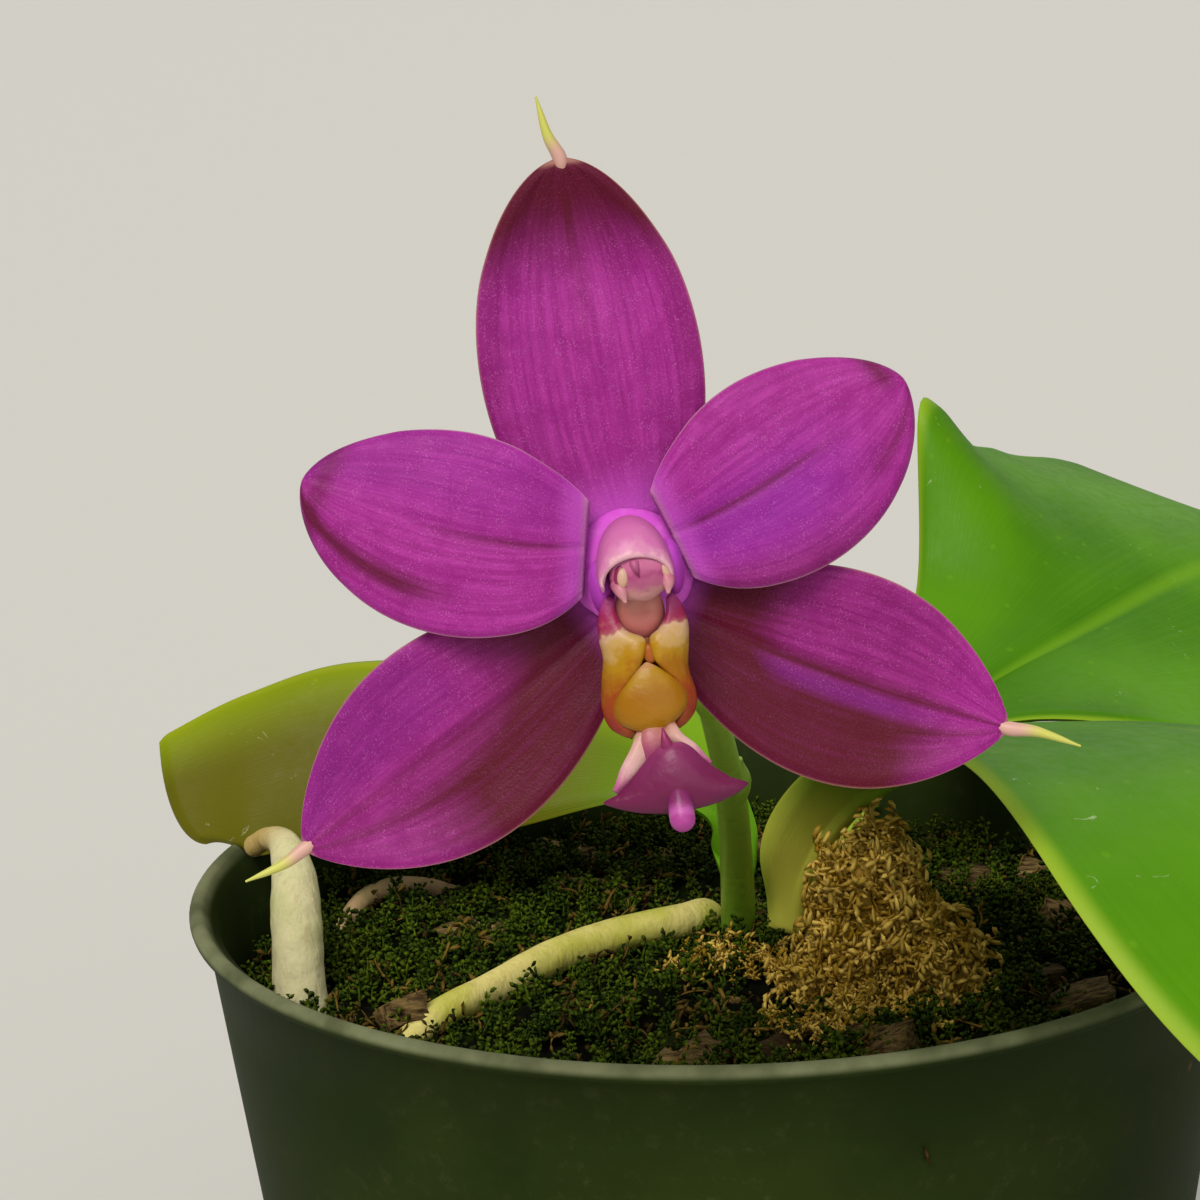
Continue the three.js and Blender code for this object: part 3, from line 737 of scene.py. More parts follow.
def chipLook():
    look = Look("barkChip", 0.85, 0.12)
    grain = look.noise(2.2, 5, 0.6, place=look.stretched(1, 4, 4))
    look.ground(look.attribute("tone"), "#261c0a", "#a88c58")
    look.over(look.span(grain, 0.35, 0.7), "#2a1b0b")
    return look.done(look.bump(grain, 0.5))


def block(bm, along, draw):
    bmesh.ops.create_cube(bm, size=mm)
    bmesh.ops.subdivide_edges(bm, edges=bm.edges[:], cuts=2, use_grid_fill=True)
    for corner in bm.verts:
        swell = draw.uniform(0.82, 1.12)
        corner.co = Vector((corner.co.x * 1.5, corner.co.y, corner.co.z * 0.6)) * swell


def makeChips():
    blocks = templates("chip", 5, 80, block)
    draw = random.Random(17)
    places = [(x, y, draw.uniform(3.2, 4.6), draw.uniform(0.4, 1)) for x, y in chipPlaces]
    x, y, size, tone = places[0]
    places[0] = (x, y, 1.25 * size, 1)  # the pale one that shows behind the flower
    while len(places) < mix["chips"]:
        radius = (innerAt(mix["level"]) - 5) * math.sqrt(draw.random())
        angle = draw.uniform(0, 2 * math.pi)
        x, y = radius * math.cos(angle), radius * math.sin(angle)
        if not underHeap(x, y):
            places.append((x, y, draw.uniform(1.5, 3.4), draw.random() ** 1.4))
    made = []
    for x, y, size, tone in places:
        z = float(soilHeight(x, y)) + 0.3
        pick = draw.randrange(5)
        made.append((pick, placeOn(x, y, z, draw.uniform(-0.6, 0.6), draw.uniform(*anyTurn), size), tone))
    dress(scatter("bark_chips", blocks, made), chipLook(), "mossy_mix")


makeGround()
makeMoss()
makeChips()
print("mix")


# The dry sphagnum heaped against the crown

heap = {
    "cores": [((14.5, -7.6, 80), (6.2, 4, 6)), ((13.6, -7.4, 86), (4.2, 3, 5)),
              ((14, -8.4, 90.5), (2.6, 2.2, 3.2)), ((18.8, -9.4, 80), (4, 3.4, 5)),
              ((9.2, -10, 79.6), (3.6, 2.4, 2.6))],
    "coreShare": 0.93,
    "strands": 1350,
    # place on the ground, spread and count of the loose strands that lie beside the heap
    "wisps": [((-2, -2.5), 1.8, 60), ((4.5, -3.5), 2, 60), ((12, -16), 3.2, 110), ((8, -21), 3, 60)],
}


def makeHeap():
    tone = dryLook("drySphagnum", "#9a7814", "#ffdc70")
    for count, (centre, radii) in enumerate(heap["cores"]):
        def shape(ball, points, seed=count):
            return points * (heap["coreShare"] + 0.16 * ripple(points, 2.6, 30 + seed)[..., None])
        piece = ballPiece(f"sphagnum_core_{count + 1}", centre, radii, 4, shape=shape)
        layer = piece.data.attributes.new("tone", "FLOAT", "POINT")
        layer.data.foreach_set("value", [0.3] * len(piece.data.vertices))
        dress(piece, tone, "dry_moss", *(["dry_sphagnum"] if count == 0 else []))
    strands = templates("sphagnumStrand", 5, 90, strandTwist, 3.4, 0.7, 7)
    draw = random.Random(23)
    made = []
    total = sum(radii[0] * radii[2] for centre, radii in heap["cores"])
    for centre, radii in heap["cores"]:
        for k in range(int(heap["strands"] * radii[0] * radii[2] / total)):
            away = Vector((draw.gauss(0, 1), draw.gauss(0, 1) - 0.2, draw.gauss(0, 1) + 0.25)).normalized()
            root = Vector([c + a * r * heap["coreShare"] for c, a, r in zip(centre, away, radii)])
            if root.z < mix["level"] + 0.2:
                continue
            aim = (away + Vector((draw.gauss(0, 0.5), draw.gauss(0, 0.5), draw.gauss(0, 0.5)))).normalized()
            turn = aim.to_track_quat("Z", "Y").to_matrix().to_4x4()
            size = draw.uniform(0.45, 1.2)
            place = Matrix.Translation(root * mm) @ turn @ Matrix.Scale(size, 4)
            made.append((draw.randrange(5), place, draw.random()))
    dress(scatter("sphagnum_strands", strands, made), tone, "dry_moss")
    loose = []
    for (middleX, middleY), spread, count in heap["wisps"]:
        for k in range(count):
            x, y = draw.gauss(middleX, spread), draw.gauss(middleY, 0.7 * spread)
            z = float(soilHeight(x, y)) + draw.uniform(0.2, 1.4)
            lying = placeOn(x, y, z, draw.uniform(0.8, 1.7), draw.uniform(*anyTurn), draw.uniform(0.4, 0.8))
            loose.append((draw.randrange(5), lying, draw.random()))
    dress(scatter("sphagnum_wisps", strands, loose), tone, "dry_moss")


makeHeap()
print("dry sphagnum")


# Roots and crown

def rootLook(name, pale, green, brown, tip=None):
    look = Look(name, 0.75, 0.2)
    broad = look.noise(7, 4)
    fibres = look.noise(0.9, 4, 0.6, place=look.stretched(1, 1, 0.35))
    look.ground(look.span(broad, 0.4, 0.7), pale, green)
    look.over(look.span(fibres, 0.52, 0.8, 0, 0.55), brown)
    if tip:
        look.over(look.span(look.attribute("along"), 0.72, 0.92), tip)
    return look.done(look.bump(fibres, 0.25, look.bump(broad, 0.6)))


def makeRoots():
    forms = {
        "root_pale": ("paleRoot", lambda t: 2.5 * lerp(1, 0.42, smooth(t, 0.5, 0.95)), "pale_root",
                      rootLook("paleVelamen", "#d3cda0", "#c0c08a", "#a8936a", "#b39a5c")),
        "root_front": ("frontRoot", lambda t: 1.8 * lerp(1.05, 0.8, t), "tan_root",
                       rootLook("tanVelamen", "#dcd080", "#b8b848", "#a08c40")),
        "root_small": ("smallRoot", lambda t: lerp(1.1, 0.85, t), "tan_root",
                       rootLook("smallVelamen", "#cfae86", "#a89a62", "#8a6a44")),
    }
    for name, (line, radius, slot, finish) in forms.items():
        def relief(share, angle, seed=len(name)):
            return (0.03 * np.sin(11 * share + 2 * angle + seed) + 0.015 * np.sin(29 * share + angle * 3)
                    + 0.008 * np.sin(83 * share - 2 * angle))
        piece = rodPiece(name + "_skin", lines[line], radius, 150, 40, relief=relief)
        dress(piece, finish, slot, name)


def makeCrown():
    look = Look("crownGreen", 0.45)
    streaks = look.noise(1.2, 3, place=look.stretched(1, 1, 0.2))
    look.ground(streaks, "#6f8a35", "#b3c070")
    piece = rodPiece("crown_heart", lines["crown"], lambda t: lerp(3.4, 2.4, t), 30, 48)
    dress(piece, look.done(look.bump(streaks, 0.2)), "crown_green", "crown")


makeRoots()
makeCrown()
print("roots and crown")


# Leaves

leafThickness = 1.3
leaves = {
    "leaf_left": {
        "curve": spline([(2.7, 11.6, 80.8), (1, 13, 90), (-8, 16.5, 98.5), (-22, 20, 103), (-36, 23, 104),
                         (-47, 24, 100.9), (-56.3, 22.8, 96.6)]),
        "halfWidth": level(3.4, 4.4, 10, 16, 18.5, 19.5, 14),
        "blunt": 6,
        "upright": True,
        "lifts": (level(52, 0, -38, -56, -57, -48, -51), level(52, 30, -4, -20, -28, -30)),
        "wave": lambda t, s: 0.9 * s * s * np.sin(9 * t),
        "length": 70,
    },
    "leaf_back_right": {
        "curve": spline([(12.5, 13, 80.8), (16.5, 17, 90), (27, 24, 97.5), (41, 34.5, 102), (55, 47, 105),
                         (68, 60, 104.5), (80, 72, 100), (90, 82, 92)]),
        "halfWidth": roundEnded([3.6, 4.6, 10, 23, 31.5, 33, 29, 20], 7),
        "lifts": (level(40, 40, 27, 30, 16, 4, -8), level(40, 30, -6, -31, -40, -38, -32)),
        "wave": lambda t, s: s * s * (1.2 * np.sin(11 * t + 0.6) + np.where(
            s < 0, 12 * hump(t, 0.445, 0.05) - 3.2 * hump(t, 0.61, 0.09), 0)),
        "length": 105,
    },
    "leaf_front_right": {
        "curve": spline([(7.4, 2.6, 80.2), (8.6, -0.3, 88.5), (13.6, -5.4, 97.3), (23, -15.2, 104.5),
                         (35.5, -30, 109), (48.5, -46, 109.5), (61.5, -61.5, 105), (73.5, -76, 96.5),
                         (82, -86.5, 86)]),
        "halfWidth": roundEnded([2.9, 4.2, 6.5, 13, 23, 32.5, 33, 27, 16], 9),
        "lifts": (level(38, 42, 2, -10, -15, -17, -17, -16), level(38, 42, 20, 12, 0, -24, -36, -36)),
        "wave": lambda t, s: 1.1 * s * s * np.sin(10 * t),
        "dry": lambda t, s: hump(t, 0.43, 0.022) ** 0.4 * smooth(-s, 0.93, 0.955),
        "length": 125,
    },
}


def leafLook(name, deep, middle, bright, margin, base, reach=0.24, nearHalfShade=0.0, veinShare=0.1):
    look = Look(name, 0.5, 0.13)
    across = look.attribute("across")
    edge = look.maths("ABSOLUTE", across)
    fine = look.noise(1.3, 4, 0.6)
    veins = look.noise(1, 2, place=look.flat(5, 60))
    look.ground(look.span(look.noise(26, 3), 0.3, 0.7), deep, middle)
    look.over(look.span(veins, 0.4, 0.8, 0, veinShare), bright)
    look.over(look.span(look.cells(3.1), 0.16, 0.05), bright, 0.25)
    look.over(look.span(edge, 0.055, 0.0), bright, 0.5)
    look.over(look.span(edge, 0.94, 1.0), margin, 0.75)
    # painted shade: the near half, which hangs down away from the light, darkened to a brownish olive
    if nearHalfShade:
        look.over(look.span(across, 0.1, -0.45), "#565002", nearHalfShade)
    look.over(look.span(look.attribute("top"), 0.6, 0.4), "#6f8a2c", 0.3)
    look.over(look.span(look.attribute("along"), reach, 0.1), base)
    look.over(look.times(look.attribute("dry"), look.span(look.noise(3, 4, 0.6), 0.3, 0.6)), "#d8b890")
    scars = look.span(look.noise(2.1, 5, 0.75, 1.5), 0.64, 0.7)
    look.over(look.times(scars, look.span(look.noise(19, 2), 0.5, 0.64)), "#d4dcb8", 0.7)
    return look.done(look.bump(veins, 0.04, look.bump(fine, 0.03)), look.span(fine, 0.3, 0.7, 0.44, 0.56))


def makeLeaves():
    looks = {  # colours from the dark one to the foot, then the reach of the foot's, the painted shade on the near half, and veins
        "leaf_left": ("oliveLeaf", "#7c9004", "#8e9e08", "#a0ac18", "#b0a63a", "#66a01a", 0.5, 0.9, 0.04),
        "leaf_back_right": ("backLeaf", "#3c7202", "#528c02", "#70a010", "#8cae22", "#9cb43c"),
        "leaf_front_right": ("frontLeaf", "#3c7402", "#508a02", "#70a212", "#98b230", "#eef060", 0.3),
    }
    for name, leaf in leaves.items():
        near, far = leaf["lifts"]
        leaf["face"] = (0, 0, 1)
        leaf["least"] = 0.6
        leaf["lift"] = lambda t, s, near=near, far=far: np.where(s < 0, near(t), far(t))

        def groove(t, s):
            return -0.55 * np.exp(-(s / 0.05) ** 2) * smooth(t, 0.02, 0.2) * (1 - 0.6 * smooth(t, 0.7, 1))

        def keel(t, s):
            return -0.9 * np.exp(-(s / 0.06) ** 2) * smooth(t, 0.02, 0.2) * (1 - 0.7 * smooth(t, 0.6, 1))
        marks = {"dry": leaf.get("dry", lambda t, s: 0 * t)}
        piece = bladePiece(name + "_blade", leaf, 150, 60, leafThickness, marks, upper=groove, under=keel)
        dress(piece, leafLook(*looks[name]), "leaf_olive" if name == "leaf_left" else "leaf_green", name)


makeLeaves()
print("leaves")


# The stalk, its bracts and bud, and the pedicel

flower = {
    "centre": (-7.98, -59.94, 130.75),
    "pitch": 77.24,
    "roll": 7.4,
}
flowerTurn = (Matrix.Rotation(math.radians(flower["pitch"]), 3, "X")
              @ Matrix.Rotation(math.radians(flower["roll"]), 3, "Z"))


def inFlower(points):  # from the flower's own frame, X right, Y up and Z to the viewer, to the part's
    return np.asarray(points, float) @ np.array(flowerTurn).T + np.array(flower["centre"])


def stalkLook(name, low, high, blush):
    look = Look(name, 0.45)
    spots = look.noise(1.1, 4, 0.6)
    look.ground(look.attribute("along"), low, high)
    look.over(look.span(spots, 0.5, 0.75, 0, 0.5), blush)
    return look.done(look.bump(spots, 0.1))


def makeStalk():
    green = stalkLook("stalkSkin", "#7fae24", "#8fb044", "#5c8a12")
    curve = spline(lines["stalk"])
    stem = rodPiece("flower_stalk_stem", lines["stalk"], lambda t: 1.6 * lerp(1.08, 0.66, smooth(t, 0, 0.9)),
                    120, 28)
    dress(stem, green, "stalk_green", "flower_stalk")
    for count, t in enumerate(evenly(curve, (0.42, 0.66, 0.86))):
        root = curve(t)
        ahead = unit(curve(t + 0.002) - curve(t - 0.002))
        hand = -1 if count % 2 else 1
        line = [root, root + ahead * 2.6 + (0.5 * hand, 0, 0.3), root + ahead * 6 + (1.1 * hand, 0, 0.8)]
        dress(rodPiece(f"stalk_bract_{count + 1}", line, level(1.3, 1.4, 0.25), 24, 20), green, "stalk_green")
    bud = [(-4.4, -41, 125.8), (-4.8, -43.5, 128.2), (-4.6, -45, 130.5)]
    dress(rodPiece("stalk_bud", bud, level(1.2, 1.5, 0.4), 24, 20), green, "stalk_green")
    behind, back = inFlower([(0, 0, -7), (0, 0.1, -2.3)])
    line = [(-5.6, -38.6, 121.2), (-7.2, -43, 124.2), behind, back]
    dress(rodPiece("pedicel_stem", line, level(1.0, 1.1, 1.5, 1.9), 70, 24),
          stalkLook("pedicelSkin", "#8fa35a", "#c98bb4", "#a8648f"), "pedicel_pink", "pedicel")


makeStalk()
print("stalk and pedicel")


# The flower's sepals and petals

def sideLine(base, aim, length, bow, heights):
    hand = 1 if math.cos(math.radians(aim)) > 0 else -1
    ahead = (math.cos(math.radians(aim)), math.sin(math.radians(aim)))
    down = (ahead[1] * hand, -ahead[0] * hand)
    points = []
    for i, height in enumerate(heights):
        share = i / (len(heights) - 1)
        sag = bow * math.sin(math.pi * share ** 0.9)
        points.append((base[0] + ahead[0] * length * share + down[0] * sag,
                       base[1] + ahead[1] * length * share + down[1] * sag, height))
    return spline(points)


tepalThickness = 0.8
petalHeights = [2.2, 3.2, 3.2, 2.9, 2.4]
lateralHeights = [-0.2, 0.3, 0.3, 0.2, 0.9]


def petalForm(hand, aim, length, bow):
    return {
        "curve": sideLine((3 * hand, 2), aim, length, bow, petalHeights),
        "halfWidth": outline(7.2, 0.573, 0.6, 0.065),
        "lift": lambda t, s: lerp(4, -10, t) * np.abs(s),
        "length": length,
    }


def lateralForm(hand, aim, length, bow, thorn):
    return {
        "curve": sideLine((1.6 * hand, -2.6), aim, length, bow, lateralHeights),
        "halfWidth": outline(7.7, 1.05, 0.8, 0.085),
        "lift": lambda t, s: lerp(6, 12, t) * np.abs(s),
        "length": length,
        "thorn": thorn,
    }


tepals = {
    "dorsal_sepal": {
        "curve": spline([(0, 3.1, 0), (-0.45, 9, 0.7), (-0.55, 16, 1.2), (-0.5, 23, 0.9),
                         (-0.35, 29.5, 2.6)]),
        "halfWidth": outline(7.95, 0.557, 0.56, 0.05),
        "lift": lambda t, s: lerp(0, 16, smooth(t, 0.3, 0.8)) * np.abs(s),
        "length": 26.4,
        "thorn": (-0.95, 4.3, 1.2),
    },
    "petal_left": petalForm(-1, 157, 20.7, 1.15),
    "petal_right": petalForm(1, 24.5, 19.8, 0.8),
    "lateral_sepal_left": lateralForm(-1, -152.1, 28.1, 0.4, (-4.3, -1.5, 0.6)),
    "lateral_sepal_right": lateralForm(1, -29.5, 26.3, 0.6, (4.7, -2, 0.6)),
}


def tepalLook(name, base, light, crimsonAndShade, rimColour):
    look = Look(name, 0.5, 0.16)
    streaks = look.noise(1, 4, 0.65, place=look.flat(2.2, 16))
    cloud = look.noise(2.1, 4, 0.6)
    # deep crimson, partly the flower's colour and partly painted shade
    deep = look.times(look.attribute("deep"), look.span(streaks, 0.1, 0.9, 1.1, 0.85), True)
    look.ground(look.span(streaks, 0.25, 0.75), base, light)
    look.over(look.span(cloud, 0.4, 0.7, 0, 0.7), base)
    look.over(look.attribute("blue"), "#82209c")
    look.over(deep, crimsonAndShade)
    look.over(look.attribute("glow"), "#c050c4")
    # painted glints: fine pale dots for the glitter of the surface's cells, fewer where it is deep crimson
    patchy = look.span(look.noise(0.9, 4, 0.7), 0.35, 0.75, 0.05, 0.5)
    paintedGlints = look.times(patchy, look.span(deep, 0.2, 0.9, 1, 0.25))
    look.over(look.times(look.span(look.cells(0.17), 0.42, 0.12), paintedGlints), "#c876ba")
    # a pale margin, which on the petals also runs across the foot as a painted highlight
    look.over(look.attribute("rim"), rimColour)
    relief = look.bump(streaks, 0.05, look.bump(look.cells(0.2), 0.02))
    return look.done(relief, look.span(cloud, 0.3, 0.7, 0.44, 0.58))


# A pale margin all round, and across the foot of the petal a painted highlight
def petalRim(t, s):
    margin = smooth(np.maximum(np.abs(s), t ** 3), 0.985, 1.0)
    return 0.8 * np.maximum(margin, 0.6 * smooth(-t, -0.04, -0.005))


def sepalRim(t, s):
    return np.maximum(0.6 * smooth(np.abs(s), 0.985, 1.0), 0.8 * smooth(t, 0.978, 0.996))


# Where each tepal is deep crimson. Part of this is painted shade: the lateral sepals are darkened all over,
# and most at their foot, under the column and lip.
crimsonAndShadeMarks = {
    "dorsal_sepal": lambda t, s: (
        smooth(t, 0.62, 0.93) + 0.25 * hump(s, 0, 0.05) * smooth(t, 0.4, 0.7)
        + 0.25 * smooth(np.abs(s), 0.6, 1) * smooth(t, 0.1, 0.5)
    ),
    "petal_left": lambda t, s: (
        0.7 * hump(s, 0, 0.04) * (1 - smooth(t, 0.25, 0.7))
        + hump(s, -0.62, 0.12) * smooth(t, 0.35, 0.6) + 0.6 * hump(t, 0.93, 0.04)
    ),
    "petal_right": lambda t, s: (
        0.75 * hump(s, 0, 0.04) * (1 - smooth(t, 0.4, 0.8))
        + 0.5 * hump(s, 0.6, 0.1) * smooth(t, 0.6, 0.8)
        + 0.8 * hump(t, 0.94, 0.035) * smooth(-s, -0.2, 0.4)
        + 0.55 * smooth(s, 0.5, 1) * (1 - smooth(t, 0.4, 0.75))
    ),
    "lateral_sepal_left": lambda t, s: (
        0.2 + 0.3 * hump(s, 0.02, 0.06) * smooth(t, 0.2, 0.5)
        + 0.3 * smooth(s, 0.5, 0.95) * (1 - smooth(t, 0.2, 0.5))
        + 1.2 * smooth(-s, -0.3, 0.6) * (1 - smooth(t, 0.35, 0.85))
        + 0.9 * (1 - smooth(t, 0.15, 0.45))
        + 0.35 * hump(s, -0.35, 0.08) * smooth(t, 0.4, 0.7)
    ),
    "lateral_sepal_right": lambda t, s: (
        0.28 * (1 - smooth(t, 0.7, 0.92))
        + 0.85 * hump(s, -0.02, 0.05) * smooth(t, 0.02, 0.25)
        + 0.5 * hump(s, 0.34, 0.07) * smooth(t, 0.3, 0.5)
        + 1.1 * smooth(s, -0.1, 0.7) * (1 - smooth(t, 0.55, 0.98))
        + (1 - smooth(t, 0.15, 0.4))
    ),
}
blueMarks = {
    "petal_left": lambda t, s: 0.2 * smooth(s, -0.2, 0.5),
    "petal_right": lambda t, s: 0.55 * hump(s, 0.25, 0.5) * (1 - smooth(t, 0.4, 0.9)),
    "lateral_sepal_left": lambda t, s: 0.25 * smooth(s, 0, 0.5) * smooth(t, 0.3, 0.6),
    "lateral_sepal_right": lambda t, s: (
        0.7 * hump(s, 0.16, 0.13) * smooth(t, 0.1, 0.3)
        * (1 - smooth(t, 0.6, 0.9))
    ),
}


def makeTepals():
    kinds = {
        # base and light colour, the deep crimson that is also painted shade, and the colour of the pale
        # margin, which on the petals is also a painted highlight
        "petal": (petalRim, tepalLook("petalViolet", "#8c1878", "#ac349a", "#5c0c34", "#c090a0")),
        "sepal": (sepalRim, tepalLook("sepalViolet", "#881474", "#a83094", "#540620", "#b88478")),
    }
    thornLook = Look("thornTip", 0.45)
    thornLook.ground(thornLook.span(thornLook.attribute("along"), 0.32, 0.6), "#cea094", "#c3c45a")
    thornSkin = thornLook.done()
    for name, tepal in tepals.items():
        kind = "petal" if "petal" in name else "sepal"
        rim, skin = kinds[kind]
        tepal["face"] = (0, 0, 1)
        tepal["least"] = 0.12
        tepal["crowd"] = 1.6
        reach = 0.24 if name == "dorsal_sepal" else 0.13
        marks = {
            "deep": lambda t, s, mark=crimsonAndShadeMarks[name]: np.clip(mark(t, s), 0, 1),
            "blue": blueMarks.get(name, lambda t, s: 0 * t),
            "glow": lambda t, s, reach=reach: 0.85 * (1 - smooth(t, 0, reach)),
            "rim": rim,
        }

        def relief(t, s):
            midrib = -0.3 * np.exp(-(s / 0.05) ** 2) * (1 - smooth(t, 0.35, 0.95))
            folds = 0.05 * np.sin(s * 17 + t * 2) * smooth(t, 0.05, 0.3) * (1 - np.abs(s))
            return midrib + folds
        piece = bladePiece(name + "_blade", tepal, 120, 44, tepalThickness, marks, place=inFlower,
                           upper=relief)
        dress(piece, skin, kind + "_violet", name)
        if "thorn" in tepal:
            tip = tepal["curve"](np.array(1.0))
            root = tepal["curve"](np.array(0.94))
            reach = np.array(tepal["thorn"])
            end = tip + reach
            knee = lerp(tip, end, 0.4) + np.array([-0.05 * reach[1], 0.05 * reach[0], 0.08])
            widths = level(0.1, 0.5, 0.46, 0.34, 0.22, 0.08)
            thorn = rodPiece(name + "_thorn", [root, tip, knee, end], widths, 60, 20, inFlower)
            dress(thorn, thornSkin, "sepal_violet")


makeTepals()
print("sepals and petals")


# The column, anther cap and lip

def waxyLook(name, low, high, roughness=0.35, blush=None):
    look = Look(name, roughness, 0.25)
    spots = look.noise(0.8, 4, 0.6)
    look.ground(look.span(look.attribute("along"), 0.0, 1.0), low, high)
    look.over(look.span(spots, 0.4, 0.7, 0, 0.3), blush or high)
    return look.done(look.bump(spots, 0.05))


def bandLook(name, bands):  # colours at shares along the piece, each fading into the next
    look = Look(name, 0.35, 0.25)
    uneven = look.span(look.noise(1.3, 3, 0.6), 0.3, 0.7, -0.05, 0.05)
    along = look.maths("ADD", look.attribute("along"), uneven)
    look.colour = bands[0][1]
    for (here, _), (after, shade) in zip(bands, bands[1:]):
        look.over(look.span(along, here, after), shade)
    return look.done(look.bump(look.noise(0.5, 3), 0.05))


hands = ((-1, "left"), (1, "right"))
column = {
    # distance to the viewer, half width, the height of its feet and of its top
    "hood": [(0.8, 2.0, -0.6, 2.2), (3.0, 2.3, -0.9, 3.0), (5.4, 2.5, -1.1, 3.55), (7.5, 2.5, -1.2, 3.2),
             (8.8, 2.45, -1.25, 2.1), (9.35, 2.38, -1.3, 0.72)],
    "hoodThickness": 0.45,
    # colours along the hood from back to front; the pale ones at its front edge are a painted highlight
    "hoodBands": [(0.25, "#c060bc"), (0.5, "#c464a8"), (0.8, "#c66ca8"), (0.9, "#cc82ac"), (0.98, "#dca8b8")],
    "cap": ((0.3, -0.35, 8.1), (2.15, 1.95, 1.15)),
    "capBands": [(0.15, "#c47aa0"), (0.4, "#b8608c"), (0.55, "#a04474"), (0.72, "#a8587c"),
                 (0.86, "#bc8484")],
    # centre, radii and how far each leans to the side
    "pollinia": [((-0.91, -0.5, 8.95), (0.4, 0.68, 0.3), 0.12),
                 ((1.95, -0.38, 8.6), (0.34, 0.66, 0.3), -0.35)],
    "teeth": [[(-1.25, -0.9, 8.3), (-1.15, -1.5, 8.8), (-1.0, -2.15, 8.9)],
              [(2.05, -0.8, 8.2), (2.1, -1.35, 8.6), (2.0, -1.98, 8.75)]],
    "beak": [(0.02, 0.35, 9.05), (0.08, -0.1, 9.3), (0.2, -0.62, 9.3)],
}


def hoodSurface(t, s):
    stations = np.array(column["hood"])
    z, halfWidth, foot, top = [level(*stations[:, k]) for k in range(4)]
    angle = math.pi / 2 * (1 - s)
    x = 0.03 + halfWidth(t) * np.cos(angle)
    rise = np.sin(angle) ** 0.85
    y = foot(t) + (top(t) - foot(t)) * rise
    back = 1.2 * t ** 3 * (1 - rise)
    return np.stack([x, y, z(t) - back], -1)


def flowerRod(name, line, radius, steps, sides, **form):
    return rodPiece(name, line, radius, steps, sides, inFlower, **form)


def flowerBall(name, centre, radii, detail=4, shape=None):
    return ballPiece(name, centre, radii, detail, inFlower, shape)


def flowerSheet(name, surface, rows, columns, thickness, half, length):
    return sheetPiece(name, surface, rows, columns, thickness, lambda t, s: (1 - np.abs(s)) * half, length,
                      place=inFlower)


def uneven(depth, size, seed):
    return lambda ball, points: points * (1 + depth * ripple(points, size, seed)[..., None])


def dented(ball, points):
    dent = np.exp(-((ball[:, :1] / 0.45) ** 2 + (ball[:, 1:2] / 0.6) ** 2))
    return points - np.array([0, 0, 0.35]) * dent * (ball[:, 2:] > 0)


def makeColumn():
    hub = flowerRod("column_hub", [(0, 0, -2), (0, 0, 0), (0, 0.1, 1.1), (0, 0.1, 2.2), (0, 0.1, 4.2)],
                    level(2.1, 2.1, 2.3, 2.5, 1.8), 30, 40)
    dress(hub, waxyLook("hubViolet", "#a83fae", "#cf78dc"), "column_pink", "column")
    collar = flowerBall("column_collar", (0, 0.15, 0.75), (4.4, 4.2, 1.05), 5, uneven(0.04, 2.5, 3))
    dress(collar, waxyLook("collarViolet", "#cc4ccc", "#c84cc4", 0.6, "#dc80da"), "column_pink")
    for hand, side in hands:
        centre = (2.55 * hand + 0.1, -0.55 + 0.35 * hand, 4.4)
        wing = flowerBall(f"column_wing_{side}", centre, (0.85, 2.0, 2.3))
        dress(wing, waxyLook(f"wingViolet{side}", "#b848c4", "#a832ac", 0.6), "column_pink")
    hood = flowerSheet("column_hood", hoodSurface, 70, 50, column["hoodThickness"], 4, 10)
    dress(hood, bandLook("hoodPink", column["hoodBands"]), "column_pink")
    throat = flowerRod("column_throat", [(0, 0.3, 1), (0, 0.5, 4), (0.1, 0.4, 7)], level(1.9, 2.2, 2.0),
                       24, 36)
    dress(throat, waxyLook("throatMagenta", "#6e1848", "#8a2a62"), "column_pink")
    cap = flowerBall("anther_cap_dome", *column["cap"], 5, uneven(0.05, 1.6, 8))
    dress(cap, bandLook("antherPink", column["capBands"]), "anther_cream", "anther_cap")
    for (centre, radii, lean), (hand, side) in zip(column["pollinia"], hands):
        def leaning(ball, points, lean=lean):
            return points + points[:, 1:2] * np.array([lean, 0, 0])
        # behind each pollinium a dark flat disc: painted shade in the pocket where it lies
        behind = (centre[0], centre[1] + 0.1, centre[2] - 0.14)
        hollow = (1.5 * radii[0], 1.3 * radii[1], 0.28)
        socket = flowerBall(f"pollen_socket_{side}", behind, hollow, 4, leaning)
        dress(socket, waxyLook(f"socketShade{side}", "#7a1c4a", "#8a2c58"), "anther_cream")
        grain = flowerBall(f"pollinium_{side}", centre, radii, 4, leaning)
        dress(grain, waxyLook(f"polliniumCream{side}", "#c8a494", "#c49a84"), "anther_cream")
    for line, (hand, side) in zip(column["teeth"], hands):
        tooth = flowerRod(f"anther_tooth_{side}", line, level(0.6, 0.44, 0.14), 24, 20)
        dress(tooth, waxyLook(f"toothPink{side}", "#b0587c", "#c88c94"), "anther_cream")
    beak = flowerRod("anther_beak", column["beak"], level(0.36, 0.24, 0.05), 24, 20)
    dress(beak, waxyLook("beakPink", "#b86090", "#7c2450"), "anther_cream")
    stigma = flowerBall("stigma_plate", (-0.1, -2.95, 5.6), (1.75, 2.15, 1.4), 5, dented)
    stigmaBands = [(0.1, "#d09080"), (0.6, "#bc7068"), (0.9, "#b0605c")]
    dress(stigma, bandLook("stigmaCream", stigmaBands), "column_pink")


